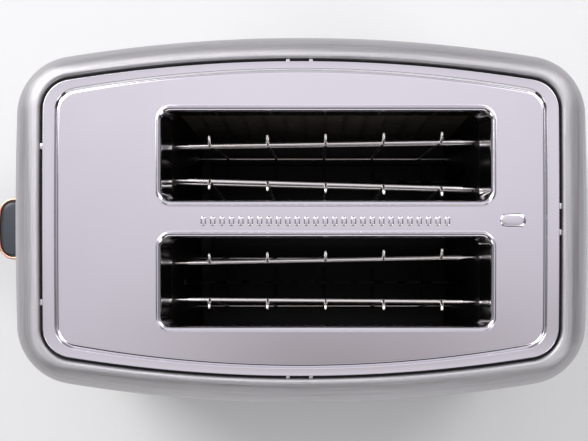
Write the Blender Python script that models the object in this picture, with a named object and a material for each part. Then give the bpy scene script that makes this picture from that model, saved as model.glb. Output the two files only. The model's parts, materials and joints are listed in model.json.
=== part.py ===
"""Two-slot toaster with a steel sleeve, an inset top plate and a lever on one end.

The body stands on its feet at Z = 0. The lever end faces -X, the rear end faces +X,
and the two bread slots lie side by side along Y, front at -Y and back at +Y.
The model is drawn as it stands with the lever latched down and the bread guides closed.
"""

import math

import bmesh
import bpy
import numpy as np
from mathutils import Vector

MM = 0.001

# Running and seating clearance between neighbouring pieces
CLEARANCE = 0.3 * MM
# How far a cutter runs past the faces that it cuts
OVERRUN = 4.0 * MM
# Faces that meet at a wider angle than this keep a sharp edge between them
SHARP_ANGLE = math.radians(35)
# A path is steep where less than this share of it runs level
STEEP_SHARE = 0.5

# Body outline at its widest level, and its height over the table
BODY_LENGTH = 280.4 * MM
BODY_WIDTH = 179.2 * MM
BODY_HEIGHT = 190.0 * MM
SIDE_BOW = 14.0 * MM
END_BOW = 2.2 * MM
BODY_CORNER = 30.0 * MM

# Steel sleeve: sheet, rounded shoulder, rolled-in rim and lower edge
SLEEVE_SHEET = 0.8 * MM
SHOULDER_DROP = 22.0 * MM
RIM_INSET_END = 14.0 * MM
RIM_INSET_SIDE = 11.7 * MM
RIM_SIDE_BOW = 11.0 * MM
RIM_END_BOW = 0.6 * MM
RIM_CORNER = 17.5 * MM
LIP_RADIUS = 1.6 * MM
LIP_DEPTH = 5.8 * MM
SLEEVE_BOTTOM = 22.0 * MM
SLEEVE_TAPER = 1.2 * MM
MID_TAPER = 0.3 * MM
SHOULDER_STEPS = 5
LIP_STEPS = 2

# Steps along the end, the corner and the side of one quarter of an outline
BODY_STEPS = (2, 5, 4)
KNOB_STEPS = (1, 4, 1)

# Inset top plate: outer ledge, step, sunk panel and edge flange
PLATE_GAP = 1.3 * MM
PLATE_DROP = 0.6 * MM
PLATE_SHEET = 0.8 * MM
PLATE_EDGE_RADIUS = 1.2 * MM
LEDGE_WIDTH = 5.6 * MM
STEP_WIDTH = 1.6 * MM
PANEL_DROP = 1.0 * MM
FLANGE_DEPTH = 5.0 * MM

# Bread slots with their rolled edges and collars
SLOT_LENGTH = 161.0 * MM
SLOT_WIDTH = 46.6 * MM
SLOT_PITCH = 60.2 * MM
SLOT_OFFSET = 12.0 * MM
SLOT_CORNER = 6.5 * MM
ROLL_RADIUS = 2.0 * MM
COLLAR_DEPTH = 14.0 * MM
COLLAR_DRAFT = 3.0 * MM
SLOT_CORNER_STEPS = 3

# Black frame that seats the top plate and the rim of the sleeve
FRAME_INSET = 6.4 * MM
FRAME_HEIGHT = 3.0 * MM
FRAME_BAND = 14.0 * MM

# Plastic base tub
FOOT_HEIGHT = 5.0 * MM
FLOOR_THICKNESS = 3.0 * MM
BASE_CHAMFER = 2.5 * MM
BASE_WALL = 2.5 * MM

# Rubber feet
FOOT_RADIUS = 8.5 * MM
FOOT_EDGE = 1.2 * MM
FOOT_PEG_RADIUS = 3.0 * MM
FOOT_INSET_END = 27.2 * MM
FOOT_INSET_SIDE = 33.6 * MM

# Toasting chamber between the two end plates
CHAMBER_LENGTH = 151.0 * MM
CHAMBER_SHEET = 0.8 * MM
END_PLATE_MARGIN = 1.2 * MM
CHAMBER_TOP_GAP = 0.5 * MM
TAB_LENGTH = 13.0 * MM
REFLECTOR_SPACING = 120.0 * MM
REFLECTOR_BOTTOM = 24.0 * MM

# Heater boards and their wound ribbons
BOARD_SPACING = 57.0 * MM
BOARD_THICKNESS = 0.6 * MM
BOARD_BOTTOM = 40.0 * MM
BOARD_DROP = 11.9 * MM
RIBBON_LOOPS = 12
RIBBON_PITCH = 10.8 * MM
RIBBON_WIDTH = 1.8 * MM
RIBBON_THICKNESS = 0.4 * MM
RIBBON_STANDOFF = 0.4 * MM
RIBBON_SAMPLES = 40

# Bread guides: wire frames that lean on the bread
GUIDE_PIVOT_HEIGHT = 35.0 * MM
GUIDE_PIVOT_OFFSET = 14.5 * MM
GUIDE_RAIL_DROP = 9.4 * MM
GUIDE_RAIL_LENGTH = 137.0 * MM
GUIDE_RAIL_RADIUS = 1.1 * MM
GUIDE_LOWER_RAIL_DROP = 14.0 * MM
GUIDE_THIN_RADIUS = 0.7 * MM
GUIDE_WIRE_RADIUS = 0.8 * MM
GUIDE_WIRE_PITCH = 28.8 * MM
GUIDE_WIRES = 5
GUIDE_TIP_OUT = 4.4 * MM
GUIDE_TIP_RISE = 4.6 * MM
GUIDE_BEND_OUT = 1.4 * MM
GUIDE_BEND_RISE = 3.4 * MM
GUIDE_PIVOT_RADIUS = 1.2 * MM
WIRE_SIDES = 5
RAIL_SIDES = 6
# Distance of each closed guide's top rail from its slot's middle
GUIDE_CLOSED_OFFSETS = {
    "guide_back_outer": 8.5 * MM,
    "guide_back_inner": 11.7 * MM,
    "guide_front_inner": 10.8 * MM,
    "guide_front_outer": 9.4 * MM,
}
# How each guide splays towards the rear, as rise over run of its top rail
GUIDE_SPLAY_SHARES = {
    "guide_back_outer": 0.017,
    "guide_back_inner": 0.029,
    "guide_front_inner": 0.020,
    "guide_front_outer": 0.008,
}

# Bread lift: two racks on one carriage
RACK_THICKNESS = 1.4 * MM
RACK_HEIGHT = 10.0 * MM
RACK_BOTTOM = 36.0 * MM
RACK_TAIL = 3.0 * MM
RACK_RODS = 5
RACK_ROD_PITCH = 28.8 * MM
RACK_ROD_RADIUS = 0.9 * MM
RACK_ROD_HALF = 9.0 * MM
RACK_ROD_SINK = 1.1 * MM
TRAVEL_MARGIN = 3.7 * MM
SLIT_CLEARANCE = 0.6 * MM

CARRIAGE_GAP = 6.0 * MM
CARRIAGE_SHEET = 1.5 * MM
CARRIAGE_HALF_WIDTH = 38.0 * MM
CARRIAGE_BOTTOM = 34.0 * MM
CARRIAGE_HEIGHT = 17.0 * MM
TONGUE_HALF_WIDTH = 8.0 * MM
TONGUE_RISE = 3.5 * MM
BUSH_HALF_WIDTH = 5.5 * MM
BUSH_HEIGHT = 14.0 * MM

POST_RADIUS = 3.0 * MM
POST_SPACING = 40.0 * MM
POST_REACH = 10.2 * MM
POST_DROP = 12.2 * MM
POST_SIDES = 12
BRIDGE_SHEET = 1.5 * MM
BRIDGE_MARGIN = 6.0 * MM

SPRING_RADIUS = 3.5 * MM
SPRING_PLACE = 34.0 * MM
SPRING_LUG_HALF_WIDTH = 4.5 * MM
SPRING_LUG_HEIGHT = 4.0 * MM

# Electromagnet that holds the carriage down, and the keeper that it holds
KEEPER_SHEET = 1.5 * MM
KEEPER_LENGTH = 28.0 * MM
KEEPER_HALF_WIDTH = 9.0 * MM
MAGNET_LENGTH = 12.0 * MM
MAGNET_HALF_WIDTH = 8.0 * MM
MAGNET_SETBACK = 2.0 * MM
COIL_WALL = 3.0 * MM
COIL_HEIGHT = 18.0 * MM
COIL_LIFT = 3.0 * MM

# Lever and its knob
LEVER_HEIGHT = 80.0 * MM
LEVER_BAR_HEIGHT = 5.0 * MM
LEVER_BAR_WIDTH = 5.0 * MM
LEVER_GRIP = 11.0 * MM
KNOB_REACH = 32.2 * MM
KNOB_DEPTH = 22.4 * MM
KNOB_WIDTH = 34.8 * MM
KNOB_HEIGHT = 14.0 * MM
KNOB_CORNER = 9.0 * MM
KNOB_BOW = 1.6 * MM
KNOB_SIDE_BOW = 0.3 * MM
KNOB_EDGE = 1.2 * MM
TRIM_THICKNESS = 1.6 * MM
TRIM_SETBACK = 0.7 * MM

# Control panel in the lever end
PANEL_HALF_WIDTH = 37.0 * MM
PANEL_BOTTOM = 29.0 * MM
PANEL_TOP_DROP = 7.0 * MM
PANEL_CORNER = 8.0 * MM
PANEL_RECESS = 0.7 * MM
PANEL_FACE_DEPTH = 1.9 * MM
PANEL_FLANGE_WIDTH = 4.0 * MM
PANEL_FLANGE_DEPTH = 2.0 * MM
LEVER_SLIT_MARGIN = 1.2 * MM

# Browning dial with its ring, shaft and potentiometer
DIAL_HEIGHT = 48.0 * MM
DIAL_RADIUS = 13.5 * MM
DIAL_DEPTH = 13.0 * MM
DIAL_DRAFT = 1.2 * MM
DIAL_EDGE = 1.0 * MM
DIAL_MARK_DEPTH = 0.8 * MM
DIAL_MARK_WIDTH = 1.6 * MM
DIAL_MARK_LENGTH = 9.0 * MM
DIAL_RING_WIDTH = 2.6 * MM
DIAL_RING_HEIGHT = 2.4 * MM
DIAL_SIDES = 24
SHAFT_RADIUS = 3.0 * MM
SHAFT_GRIP = 8.0 * MM
SHAFT_SIDES = 12
POT_RADIUS = 8.0 * MM
POT_DEPTH = 7.7 * MM

# Push buttons beside the lever, and the switches behind them
BUTTON_NAMES = ("button_defrost", "button_reheat", "button_cancel")
BUTTON_PLACE = 27.0 * MM
BUTTON_DROP = 25.0 * MM
BUTTON_PITCH = 20.0 * MM
BUTTON_HALF_WIDTH = 4.0 * MM
BUTTON_HALF_HEIGHT = 6.0 * MM
BUTTON_CORNER = 3.8 * MM
BUTTON_PROUD = 2.6 * MM
BUTTON_EDGE = 0.6 * MM
BUTTON_FLANGE = 1.2 * MM
BUTTON_FLANGE_DEPTH = 1.5 * MM
BUTTON_STEM_HALF = 1.8 * MM
BUTTON_STEM_CORNER = 0.8 * MM
BUTTON_TRAVEL = 1.5 * MM
SWITCH_HALF = 3.1 * MM
SWITCH_DEPTH = 2.7 * MM
SWITCH_REST_GAP = 0.1 * MM

# Circuit board behind the panel
CIRCUIT_SHEET = 1.6 * MM
CIRCUIT_SETBACK = 20.0 * MM
CIRCUIT_HALF_WIDTH = 35.0 * MM
CIRCUIT_STEP = 66.0 * MM
CIRCUIT_DROP = 15.0 * MM
CIRCUIT_INNER = 16.0 * MM

# Crumb tray and its handle
TRAY_MARGIN = 18.0 * MM
TRAY_FRONT = 58.0 * MM
TRAY_HEIGHT = 8.0 * MM
TRAY_SHEET = 0.8 * MM
TRAY_OPENING_HEIGHT = 12.6 * MM
HANDLE_DEPTH = 3.4 * MM
GRIP_REACH = 6.5 * MM
GRIP_HALF_WIDTH = 30.0 * MM
GRIP_THICKNESS = 3.0 * MM
GRIP_CORNER = 5.0 * MM

# Cord inlet at the rear
GLAND_SPACING = 8.3 * MM
GLAND_HEIGHT = 14.0 * MM
GLAND_BORE = 3.6 * MM
GLAND_RADIUS = 5.0 * MM
GLAND_FLANGE_RADIUS = 6.2 * MM
GLAND_FLANGE_DEPTH = 2.0 * MM
GLAND_INNER_LENGTH = 6.0 * MM
GLAND_SIDES = 16

TERMINAL_LENGTH = 12.0 * MM
TERMINAL_WIDTH = 13.0 * MM
TERMINAL_HEIGHT = 12.0 * MM
TERMINAL_GAP = 9.0 * MM
LEAD_RADIUS = 1.1 * MM
LEAD_SPACING = 7.0 * MM
LEAD_LANE_GAP = 0.6 * MM
LEAD_RISE = 6.0 * MM
LEAD_STEP = 4.0 * MM
LEAD_STUB = 6.0 * MM
LEAD_LANE_START = 14.4 * MM
LEAD_LANE_RUN_IN = 24.0 * MM
LEAD_LANE_RUN_OUT = 54.0 * MM
LEAD_LANE_END = 42.0 * MM
LEAD_CROSSING = 24.0 * MM
LEAD_BOARD_STUB = 12.0 * MM
LEAD_POINTS = 4

# Screws through the floor of the base into the tabs of the end plates
SCREW_RADIUS = 1.5 * MM
SCREW_HEAD_RADIUS = 3.2 * MM
SCREW_HEAD_HEIGHT = 1.3 * MM
SCREW_SINK = 1.8 * MM
SCREW_LENGTH = 9.0 * MM
SCREW_SIDES = 10
SCREW_INSET = 5.2 * MM

# Values worked out from the sizes above
HALF_LENGTH = BODY_LENGTH / 2
HALF_WIDTH = BODY_WIDTH / 2
SHOULDER_START = BODY_HEIGHT - SHOULDER_DROP
LIP_BOTTOM = BODY_HEIGHT - LIP_DEPTH
FLOOR_TOP = FOOT_HEIGHT + FLOOR_THICKNESS
STAND = FLOOR_TOP + CLEARANCE
LEDGE_HEIGHT = BODY_HEIGHT - PLATE_DROP
PANEL_HEIGHT = LEDGE_HEIGHT - PANEL_DROP
PLATE_INSET_END = RIM_INSET_END + LIP_RADIUS + PLATE_GAP
PLATE_INSET_SIDE = RIM_INSET_SIDE + LIP_RADIUS + PLATE_GAP
PLATE_CORNER = RIM_CORNER - LIP_RADIUS - PLATE_GAP
FRAME_TOP = min(LIP_BOTTOM, LEDGE_HEIGHT - FLANGE_DEPTH) - CLEARANCE
COLLAR_BOTTOM = PANEL_HEIGHT - ROLL_RADIUS - COLLAR_DEPTH
CHAMBER_TOP = COLLAR_BOTTOM - CHAMBER_TOP_GAP
END_PLATE_HALF_WIDTH = REFLECTOR_SPACING / 2 + CHAMBER_SHEET + END_PLATE_MARGIN
SCREW_PLACE = END_PLATE_HALF_WIDTH - SCREW_INSET
BOARD_TOP = CHAMBER_TOP - BOARD_DROP
GUIDE_RAIL_HEIGHT = COLLAR_BOTTOM - GUIDE_RAIL_DROP
POST_TOP = CHAMBER_TOP - POST_DROP
TONGUE_TOP = LEVER_HEIGHT + LEVER_BAR_HEIGHT / 2 + TONGUE_RISE
LEVER_TRAVEL = POST_TOP - TONGUE_TOP - TRAVEL_MARGIN
PANEL_TOP = SHOULDER_START - PANEL_TOP_DROP
CIRCUIT_TOP = PANEL_TOP - CIRCUIT_DROP
TRAY_HALF_WIDTH = END_PLATE_HALF_WIDTH - TRAY_MARGIN
GLAND_PLACE = TRAY_HALF_WIDTH + GLAND_SPACING
UPSTAND_TOP = PANEL_BOTTOM - PANEL_FLANGE_WIDTH - CLEARANCE
SLOT_Y = SLOT_PITCH / 2
LEVER_PLATE_X = SLOT_OFFSET - CHAMBER_LENGTH / 2
REAR_PLATE_X = SLOT_OFFSET + CHAMBER_LENGTH / 2
LEVER_PLATE_BACK = LEVER_PLATE_X - CHAMBER_SHEET
RACK_TOP = RACK_BOTTOM + RACK_HEIGHT
CARRIAGE_X = LEVER_PLATE_BACK - CARRIAGE_GAP
CARRIAGE_BACK = CARRIAGE_X - CARRIAGE_SHEET
POST_X = CARRIAGE_BACK - POST_REACH
TRAY_TOP = STAND + TRAY_HEIGHT
PANEL_FACE_X = -HALF_LENGTH + PANEL_RECESS
PANEL_MID_X = PANEL_FACE_X + PANEL_FACE_DEPTH
PANEL_INNER_X = PANEL_MID_X + PANEL_FLANGE_DEPTH
CIRCUIT_X = PANEL_INNER_X + CIRCUIT_SETBACK
KNOB_X = -HALF_LENGTH - KNOB_REACH + KNOB_DEPTH / 2
REAR_REACH = HALF_LENGTH + GRIP_REACH
LEVER_REACH = HALF_LENGTH + KNOB_REACH
# The row's origin is under the middle of the whole part, so the body stands off it in X
BODY_SHIFT = (LEVER_REACH - REAR_REACH) / 2

STEEL_BRUSHED = ("brushed_steel", (0.62, 0.61, 0.60), 0.32, 1.0)
STEEL_POLISHED = ("polished_steel", (0.78, 0.77, 0.79), 0.12, 1.0)
STEEL_PLATED = ("plated_steel", (0.55, 0.55, 0.55), 0.35, 1.0)
WIRE_CHROME = ("chrome_wire", (0.80, 0.79, 0.76), 0.15, 1.0)
COPPER = ("copper_trim", (0.86, 0.50, 0.37), 0.18, 1.0)
PLASTIC_BLACK = ("black_plastic", (0.02, 0.02, 0.022), 0.5, 0.0)
PLASTIC_SLATE = ("slate_plastic", (0.05, 0.06, 0.08), 0.35, 0.0)
RUBBER = ("rubber", (0.03, 0.03, 0.03), 0.85, 0.0)
MICA = ("mica", (0.55, 0.50, 0.40), 0.5, 0.0)
HEATER = ("heater_alloy", (0.42, 0.38, 0.34), 0.45, 1.0)
CIRCUIT = ("circuit_green", (0.03, 0.16, 0.07), 0.5, 0.0)
COIL_WIRE = ("enamelled_wire", (0.45, 0.16, 0.05), 0.35, 0.6)
LEAD_BROWN = ("brown_sleeving", (0.17, 0.07, 0.03), 0.55, 0.0)
LEAD_BLUE = ("blue_sleeving", (0.03, 0.08, 0.30), 0.55, 0.0)


def clear_scene():
    for existing in list(bpy.data.objects):
        bpy.data.objects.remove(existing, do_unlink=True)


def get_material(finish):
    name, colour, roughness, metallic = finish
    found = bpy.data.materials.get(name)
    if found:
        return found
    made = bpy.data.materials.new(name)
    made.use_nodes = True
    shader = made.node_tree.nodes["Principled BSDF"]
    shader.inputs["Base Color"].default_value = (*colour, 1.0)
    shader.inputs["Roughness"].default_value = roughness
    shader.inputs["Metallic"].default_value = metallic
    return made


def make_body_empty():
    empty = bpy.data.objects.new("toaster_body", None)
    empty.location = (BODY_SHIFT, 0, 0)
    bpy.context.scene.collection.objects.link(empty)
    return empty


def add_piece(name, shape, finish, origin=(0, 0, 0), smooth=True):
    """Make one named object from (points, faces) and hang it on the body.

    The points are in the body's frame. The origin is where the piece turns or slides from.
    """
    points, faces = shape
    centre = np.array(origin, float)
    mesh = bpy.data.meshes.new(name)
    mesh.from_pydata((np.asarray(points, float) - centre).tolist(), [], faces)
    tidy_mesh(mesh)
    piece = bpy.data.objects.new(name, mesh)
    piece.location = Vector(origin)
    piece.parent = bpy.data.objects["toaster_body"]
    bpy.context.scene.collection.objects.link(piece)
    mesh.materials.append(get_material(finish))
    if smooth:
        shade_smooth(mesh)
    return piece


def tidy_mesh(mesh):
    """Turn the faces of a closed shape outwards."""
    shape = bmesh.new()
    shape.from_mesh(mesh)
    bmesh.ops.recalc_face_normals(shape, faces=shape.faces)
    shape.to_mesh(mesh)
    shape.free()


def shade_smooth(mesh):
    mesh.shade_smooth()
    mesh.set_sharp_from_angle(angle=SHARP_ANGLE)


def combine(piece, shape, operation):
    """Cut a closed shape out of a piece, or join it on, and keep the result as its mesh."""
    points, faces = shape
    tool_mesh = bpy.data.meshes.new("tool")
    tool_mesh.from_pydata((np.asarray(points, float)).tolist(), [], faces)
    tidy_mesh(tool_mesh)
    tool = bpy.data.objects.new("tool", tool_mesh)
    tool.parent = piece.parent
    bpy.context.scene.collection.objects.link(tool)
    modifier = piece.modifiers.new("combine", "BOOLEAN")
    modifier.operation = operation
    modifier.solver = "EXACT"
    modifier.object = tool
    apply_modifiers(piece)
    bpy.data.objects.remove(tool, do_unlink=True)
    bpy.data.meshes.remove(tool_mesh)


def cut(piece, shape):
    combine(piece, shape, "DIFFERENCE")


def join(piece, shape):
    combine(piece, shape, "UNION")


def apply_modifiers(piece):
    bpy.context.view_layer.update()
    graph = bpy.context.evaluated_depsgraph_get()
    result = bpy.data.meshes.new_from_object(piece.evaluated_get(graph), depsgraph=graph)
    former = piece.data
    piece.modifiers.clear()
    piece.data = result
    result.name = piece.name
    bpy.data.meshes.remove(former)
    shade_smooth(result)


def solidify(piece, thickness):
    """Give a sheet its thickness, on the side away from its normals."""
    wall = piece.modifiers.new("sheet", "SOLIDIFY")
    wall.thickness = thickness
    wall.offset = -1
    wall.use_even_offset = True
    apply_modifiers(piece)


def bowed_quarter(half_length, half_width, side_bow, end_bow, corner, steps=BODY_STEPS):
    """Quarter outline from (half_length, 0) to (0, half_width).

    The end and the side are arcs with the given bows, and a corner arc is tangent to both.
    The steps are those along the end, the corner and the side.
    """
    side_radius = (half_length ** 2 + side_bow ** 2) / (2 * side_bow)
    end_radius = (half_width ** 2 + end_bow ** 2) / (2 * end_bow)
    side_centre = np.array([0.0, half_width - side_radius])
    end_centre = np.array([half_length - end_radius, 0.0])
    reach_side = side_radius - corner
    reach_end = end_radius - corner
    span = end_centre - side_centre
    distance = np.hypot(*span)
    along = (reach_side ** 2 - reach_end ** 2 + distance ** 2) / (2 * distance)
    across = math.sqrt(reach_side ** 2 - along ** 2)
    unit = span / distance
    right_turn = np.array([unit[1], -unit[0]])
    corner_centre = side_centre + along * unit + across * right_turn
    end_angle = math.atan2(*(corner_centre - end_centre)[::-1])
    side_angle = math.atan2(*(corner_centre - side_centre)[::-1])
    stretches = (
        (end_centre, end_radius, 0, end_angle, steps[0]),
        (corner_centre, corner, end_angle, side_angle, steps[1]),
        (side_centre, side_radius, side_angle, math.pi / 2, steps[2]),
    )
    points = [np.array([[half_length, 0.0]])]
    for centre, radius, first, last, count in stretches:
        angles = np.linspace(first, last, count + 1)[1:]
        arc = centre + radius * np.column_stack([np.cos(angles), np.sin(angles)])
        points.append(arc)
    return np.vstack(points)


def full_outline(quarter):
    """Mirror a quarter outline into a closed one, anticlockwise."""
    second = quarter[::-1][1:] * (-1, 1)
    third = quarter[1:] * (-1, -1)
    fourth = quarter[::-1][1:-1] * (1, -1)
    return np.vstack([quarter, second, third, fourth])


def body_outline(share=0.0, inset=0.0):
    """Outline of the body: share 0 at the wall, 1 at the rim, then inset evenly."""
    half_length = HALF_LENGTH - RIM_INSET_END * share - inset
    half_width = HALF_WIDTH - RIM_INSET_SIDE * share - inset
    side_bow = SIDE_BOW + (RIM_SIDE_BOW - SIDE_BOW) * share
    end_bow = END_BOW + (RIM_END_BOW - END_BOW) * share
    corner = BODY_CORNER + (RIM_CORNER - BODY_CORNER) * share - inset
    return full_outline(bowed_quarter(half_length, half_width, side_bow, end_bow, corner))


def end_face_x(place, inset):
    """Where the body's end wall stands in X, at a distance from its middle plane."""
    points = body_outline(0.0, inset)
    quarter = points[:sum(BODY_STEPS[:2]) + 1]
    return float(np.interp(place, quarter[:, 1], quarter[:, 0]))


def rounded_rectangle(half_width, half_height, corner, steps=SLOT_CORNER_STEPS):
    angles = np.linspace(0, math.pi / 2, steps + 1)
    arc = corner * np.column_stack([np.cos(angles), np.sin(angles)])
    quarter = arc + (half_width - corner, half_height - corner)
    second = quarter[::-1] * (-1, 1)
    return np.vstack([quarter, second, quarter * (-1, -1), second * (-1, -1)])


def level(points, height):
    """Lay a flat outline at a height."""
    return np.column_stack([points, np.full(len(points), height)])


def upright(points, x):
    """Stand a flat outline of (Y, Z) points at a place along X."""
    return np.column_stack([np.full(len(points), x), points])


def ring_faces(rings, count, start=0, closed=False):
    faces = []
    pairs = rings if closed else rings - 1
    for ring in range(pairs):
        lower = start + ring * count
        upper = start + ((ring + 1) % rings) * count
        for step in range(count):
            after = (step + 1) % count
            faces.append((lower + step, lower + after, upper + after, upper + step))
    return faces


def loft(rings, closed=False):
    """Join rings of equal count into a solid: capped, or closed into a hoop."""
    count = len(rings[0])
    faces = ring_faces(len(rings), count, closed=closed)
    if not closed:
        faces.append(tuple(range(count)))
        faces.append(tuple(range((len(rings) - 1) * count, len(rings) * count)))
    return np.vstack(rings), faces


def block(low, high):
    (x0, y0, z0), (x1, y1, z1) = low, high
    base = np.array([(x0, y0), (x1, y0), (x1, y1), (x0, y1)])
    return loft([level(base, z0), level(base, z1)])


def circle(radius, sides):
    angles = np.arange(sides) * math.tau / sides
    return radius * np.column_stack([np.cos(angles), np.sin(angles)])


def turned_up(centre, profile, sides, closed=False):
    """Turn a profile of (height, radius) about an upright axis through centre (X, Y)."""
    rings = [level(circle(radius, sides) + centre, height) for height, radius in profile]
    return loft(rings, closed)


def turned_along(centre, profile, sides, closed=False):
    """Turn a profile of (x, radius) about an axis along X through centre (Y, Z)."""
    rings = [upright(circle(radius, sides) + centre, x) for x, radius in profile]
    return loft(rings, closed)


def tube(points, radius, sides):
    """Carry a circle along a path, each ring square to the mean of its two runs."""
    path = np.asarray(points, float)
    runs = np.diff(path, axis=0)
    runs /= np.linalg.norm(runs, axis=1)[:, None]
    ways = np.vstack([runs[:1], runs[:-1] + runs[1:], runs[-1:]])
    ways /= np.linalg.norm(ways, axis=1)[:, None]
    first_side = np.cross(ways[0], (0.0, 0.0, 1.0))
    if np.linalg.norm(first_side) < STEEP_SHARE:
        first_side = np.cross(ways[0], (1.0, 0.0, 0.0))
    side = first_side / np.linalg.norm(first_side)
    section = circle(radius, sides)
    rings = []
    for place, way in zip(path, ways):
        side = side - way * side.dot(way)
        side /= np.linalg.norm(side)
        other = np.cross(way, side)
        rings.append(place + section[:, :1] * side + section[:, 1:] * other)
    return loft(rings)


def make_outer_sleeve():
    """Brushed steel sleeve: bulged walls, elliptical shoulder and a rolled-in rim."""
    rings = [
        level(body_outline(0.0, SLEEVE_TAPER), SLEEVE_BOTTOM),
        level(body_outline(0.0, MID_TAPER), (SLEEVE_BOTTOM + SHOULDER_START) / 2),
        level(body_outline(), SHOULDER_START),
    ]
    for step in range(1, SHOULDER_STEPS + 1):
        angle = math.pi / 2 * step / SHOULDER_STEPS
        height = SHOULDER_START + SHOULDER_DROP * math.sin(angle)
        rings.append(level(body_outline(1 - math.cos(angle)), height))
    for step in range(1, LIP_STEPS + 1):
        angle = math.pi / 2 * step / LIP_STEPS
        height = BODY_HEIGHT - LIP_RADIUS * (1 - math.cos(angle))
        rings.append(level(body_outline(1.0, LIP_RADIUS * math.sin(angle)), height))
    rings.append(level(body_outline(1.0, LIP_RADIUS), LIP_BOTTOM))
    faces = ring_faces(len(rings), len(rings[0]))
    sleeve = add_piece("outer_sleeve", (np.vstack(rings), faces), STEEL_BRUSHED)
    orient_sheet(sleeve, Vector((1, 0, 0)), Vector((HALF_LENGTH, 0, 0)))
    solidify(sleeve, SLEEVE_SHEET)
    window = panel_outline(CLEARANCE)
    cut(sleeve, loft([upright(window, -HALF_LENGTH - OVERRUN), upright(window, PANEL_MID_X + OVERRUN)]))


def orient_sheet(piece, way, place):
    """Turn an open sheet so that its face nearest to a place looks the given way."""
    shape = bmesh.new()
    shape.from_mesh(piece.data)
    nearest = min(shape.faces, key=lambda face: (face.calc_center_median() - place).length)
    if nearest.normal.dot(way) < 0:
        bmesh.ops.reverse_faces(shape, faces=shape.faces)
    shape.to_mesh(piece.data)
    shape.free()


def plate_outline(inset):
    half_length = HALF_LENGTH - PLATE_INSET_END - inset
    half_width = HALF_WIDTH - PLATE_INSET_SIDE - inset
    corner = PLATE_CORNER - inset
    return full_outline(bowed_quarter(half_length, half_width, RIM_SIDE_BOW, RIM_END_BOW, corner))


def slot_rings(slot_y):
    """Rings of one bread slot from the panel down: rolled edge, then a drafted collar."""
    rings = []
    for step in range(LIP_STEPS + 1):
        angle = math.pi / 2 * step / LIP_STEPS
        inset = ROLL_RADIUS * math.sin(angle)
        drop = ROLL_RADIUS * (1 - math.cos(angle))
        rings.append((inset, inset, PANEL_HEIGHT - drop))
    rings.append((ROLL_RADIUS + COLLAR_DRAFT, ROLL_RADIUS, COLLAR_BOTTOM))
    placed = []
    for end_inset, side_inset, height in rings:
        half_length = SLOT_LENGTH / 2 - end_inset
        half_width = SLOT_WIDTH / 2 - side_inset
        corner = SLOT_CORNER - side_inset
        outline = rounded_rectangle(half_length, half_width, corner)
        placed.append(level(outline + (SLOT_OFFSET, slot_y), height))
    return placed


def make_top_plate():
    """Polished plate: edge flange, ledge, step, sunk panel, and two slots with collars."""
    edge = []
    edge.append((0.0, LEDGE_HEIGHT - FLANGE_DEPTH))
    for step in range(LIP_STEPS + 1):
        angle = math.pi / 2 * step / LIP_STEPS
        inset = PLATE_EDGE_RADIUS * (1 - math.cos(angle))
        edge.append((inset, LEDGE_HEIGHT - PLATE_EDGE_RADIUS * (1 - math.sin(angle))))
    edge.append((LEDGE_WIDTH, LEDGE_HEIGHT))
    edge.append((LEDGE_WIDTH + STEP_WIDTH, PANEL_HEIGHT))
    rings = [level(plate_outline(inset), height) for inset, height in edge]
    shape = bmesh.new()
    borders = [add_bands(shape, rings)[-1]]
    for slot_y in (-SLOT_Y, SLOT_Y):
        borders.append(add_bands(shape, slot_rings(slot_y))[0])
    edges = [edge for border in borders for edge in loop_edges(shape, border)]
    bmesh.ops.triangle_fill(shape, use_beauty=True, edges=edges)
    bmesh.ops.recalc_face_normals(shape, faces=shape.faces)
    mesh = bpy.data.meshes.new("top_plate")
    shape.to_mesh(mesh)
    shape.free()
    plate = bpy.data.objects.new("top_plate", mesh)
    plate.parent = bpy.data.objects["toaster_body"]
    bpy.context.scene.collection.objects.link(plate)
    mesh.materials.append(get_material(STEEL_POLISHED))
    orient_sheet(plate, Vector((0, 0, 1)), Vector((SLOT_OFFSET, 0, PANEL_HEIGHT)))
    solidify(plate, PLATE_SHEET)


def add_bands(shape, rings):
    """Add rings of points and the bands of faces between them, and return the rings."""
    rows = [[shape.verts.new(point) for point in ring] for ring in rings]
    for lower, upper in zip(rows, rows[1:]):
        for step in range(len(lower)):
            after = (step + 1) % len(lower)
            shape.faces.new((lower[step], lower[after], upper[after], upper[step]))
    return rows


def loop_edges(shape, row):
    return [shape.edges.get((row[step], row[(step + 1) % len(row)])) for step in range(len(row))]


def make_top_frame():
    outer = body_outline(0.0, FRAME_INSET)
    inner = body_outline(0.0, FRAME_INSET + FRAME_BAND)
    bottom = FRAME_TOP - FRAME_HEIGHT
    rings = [level(outer, bottom), level(outer, FRAME_TOP), level(inner, FRAME_TOP), level(inner, bottom)]
    add_piece("top_frame", loft(rings, closed=True), PLASTIC_BLACK)


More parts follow.
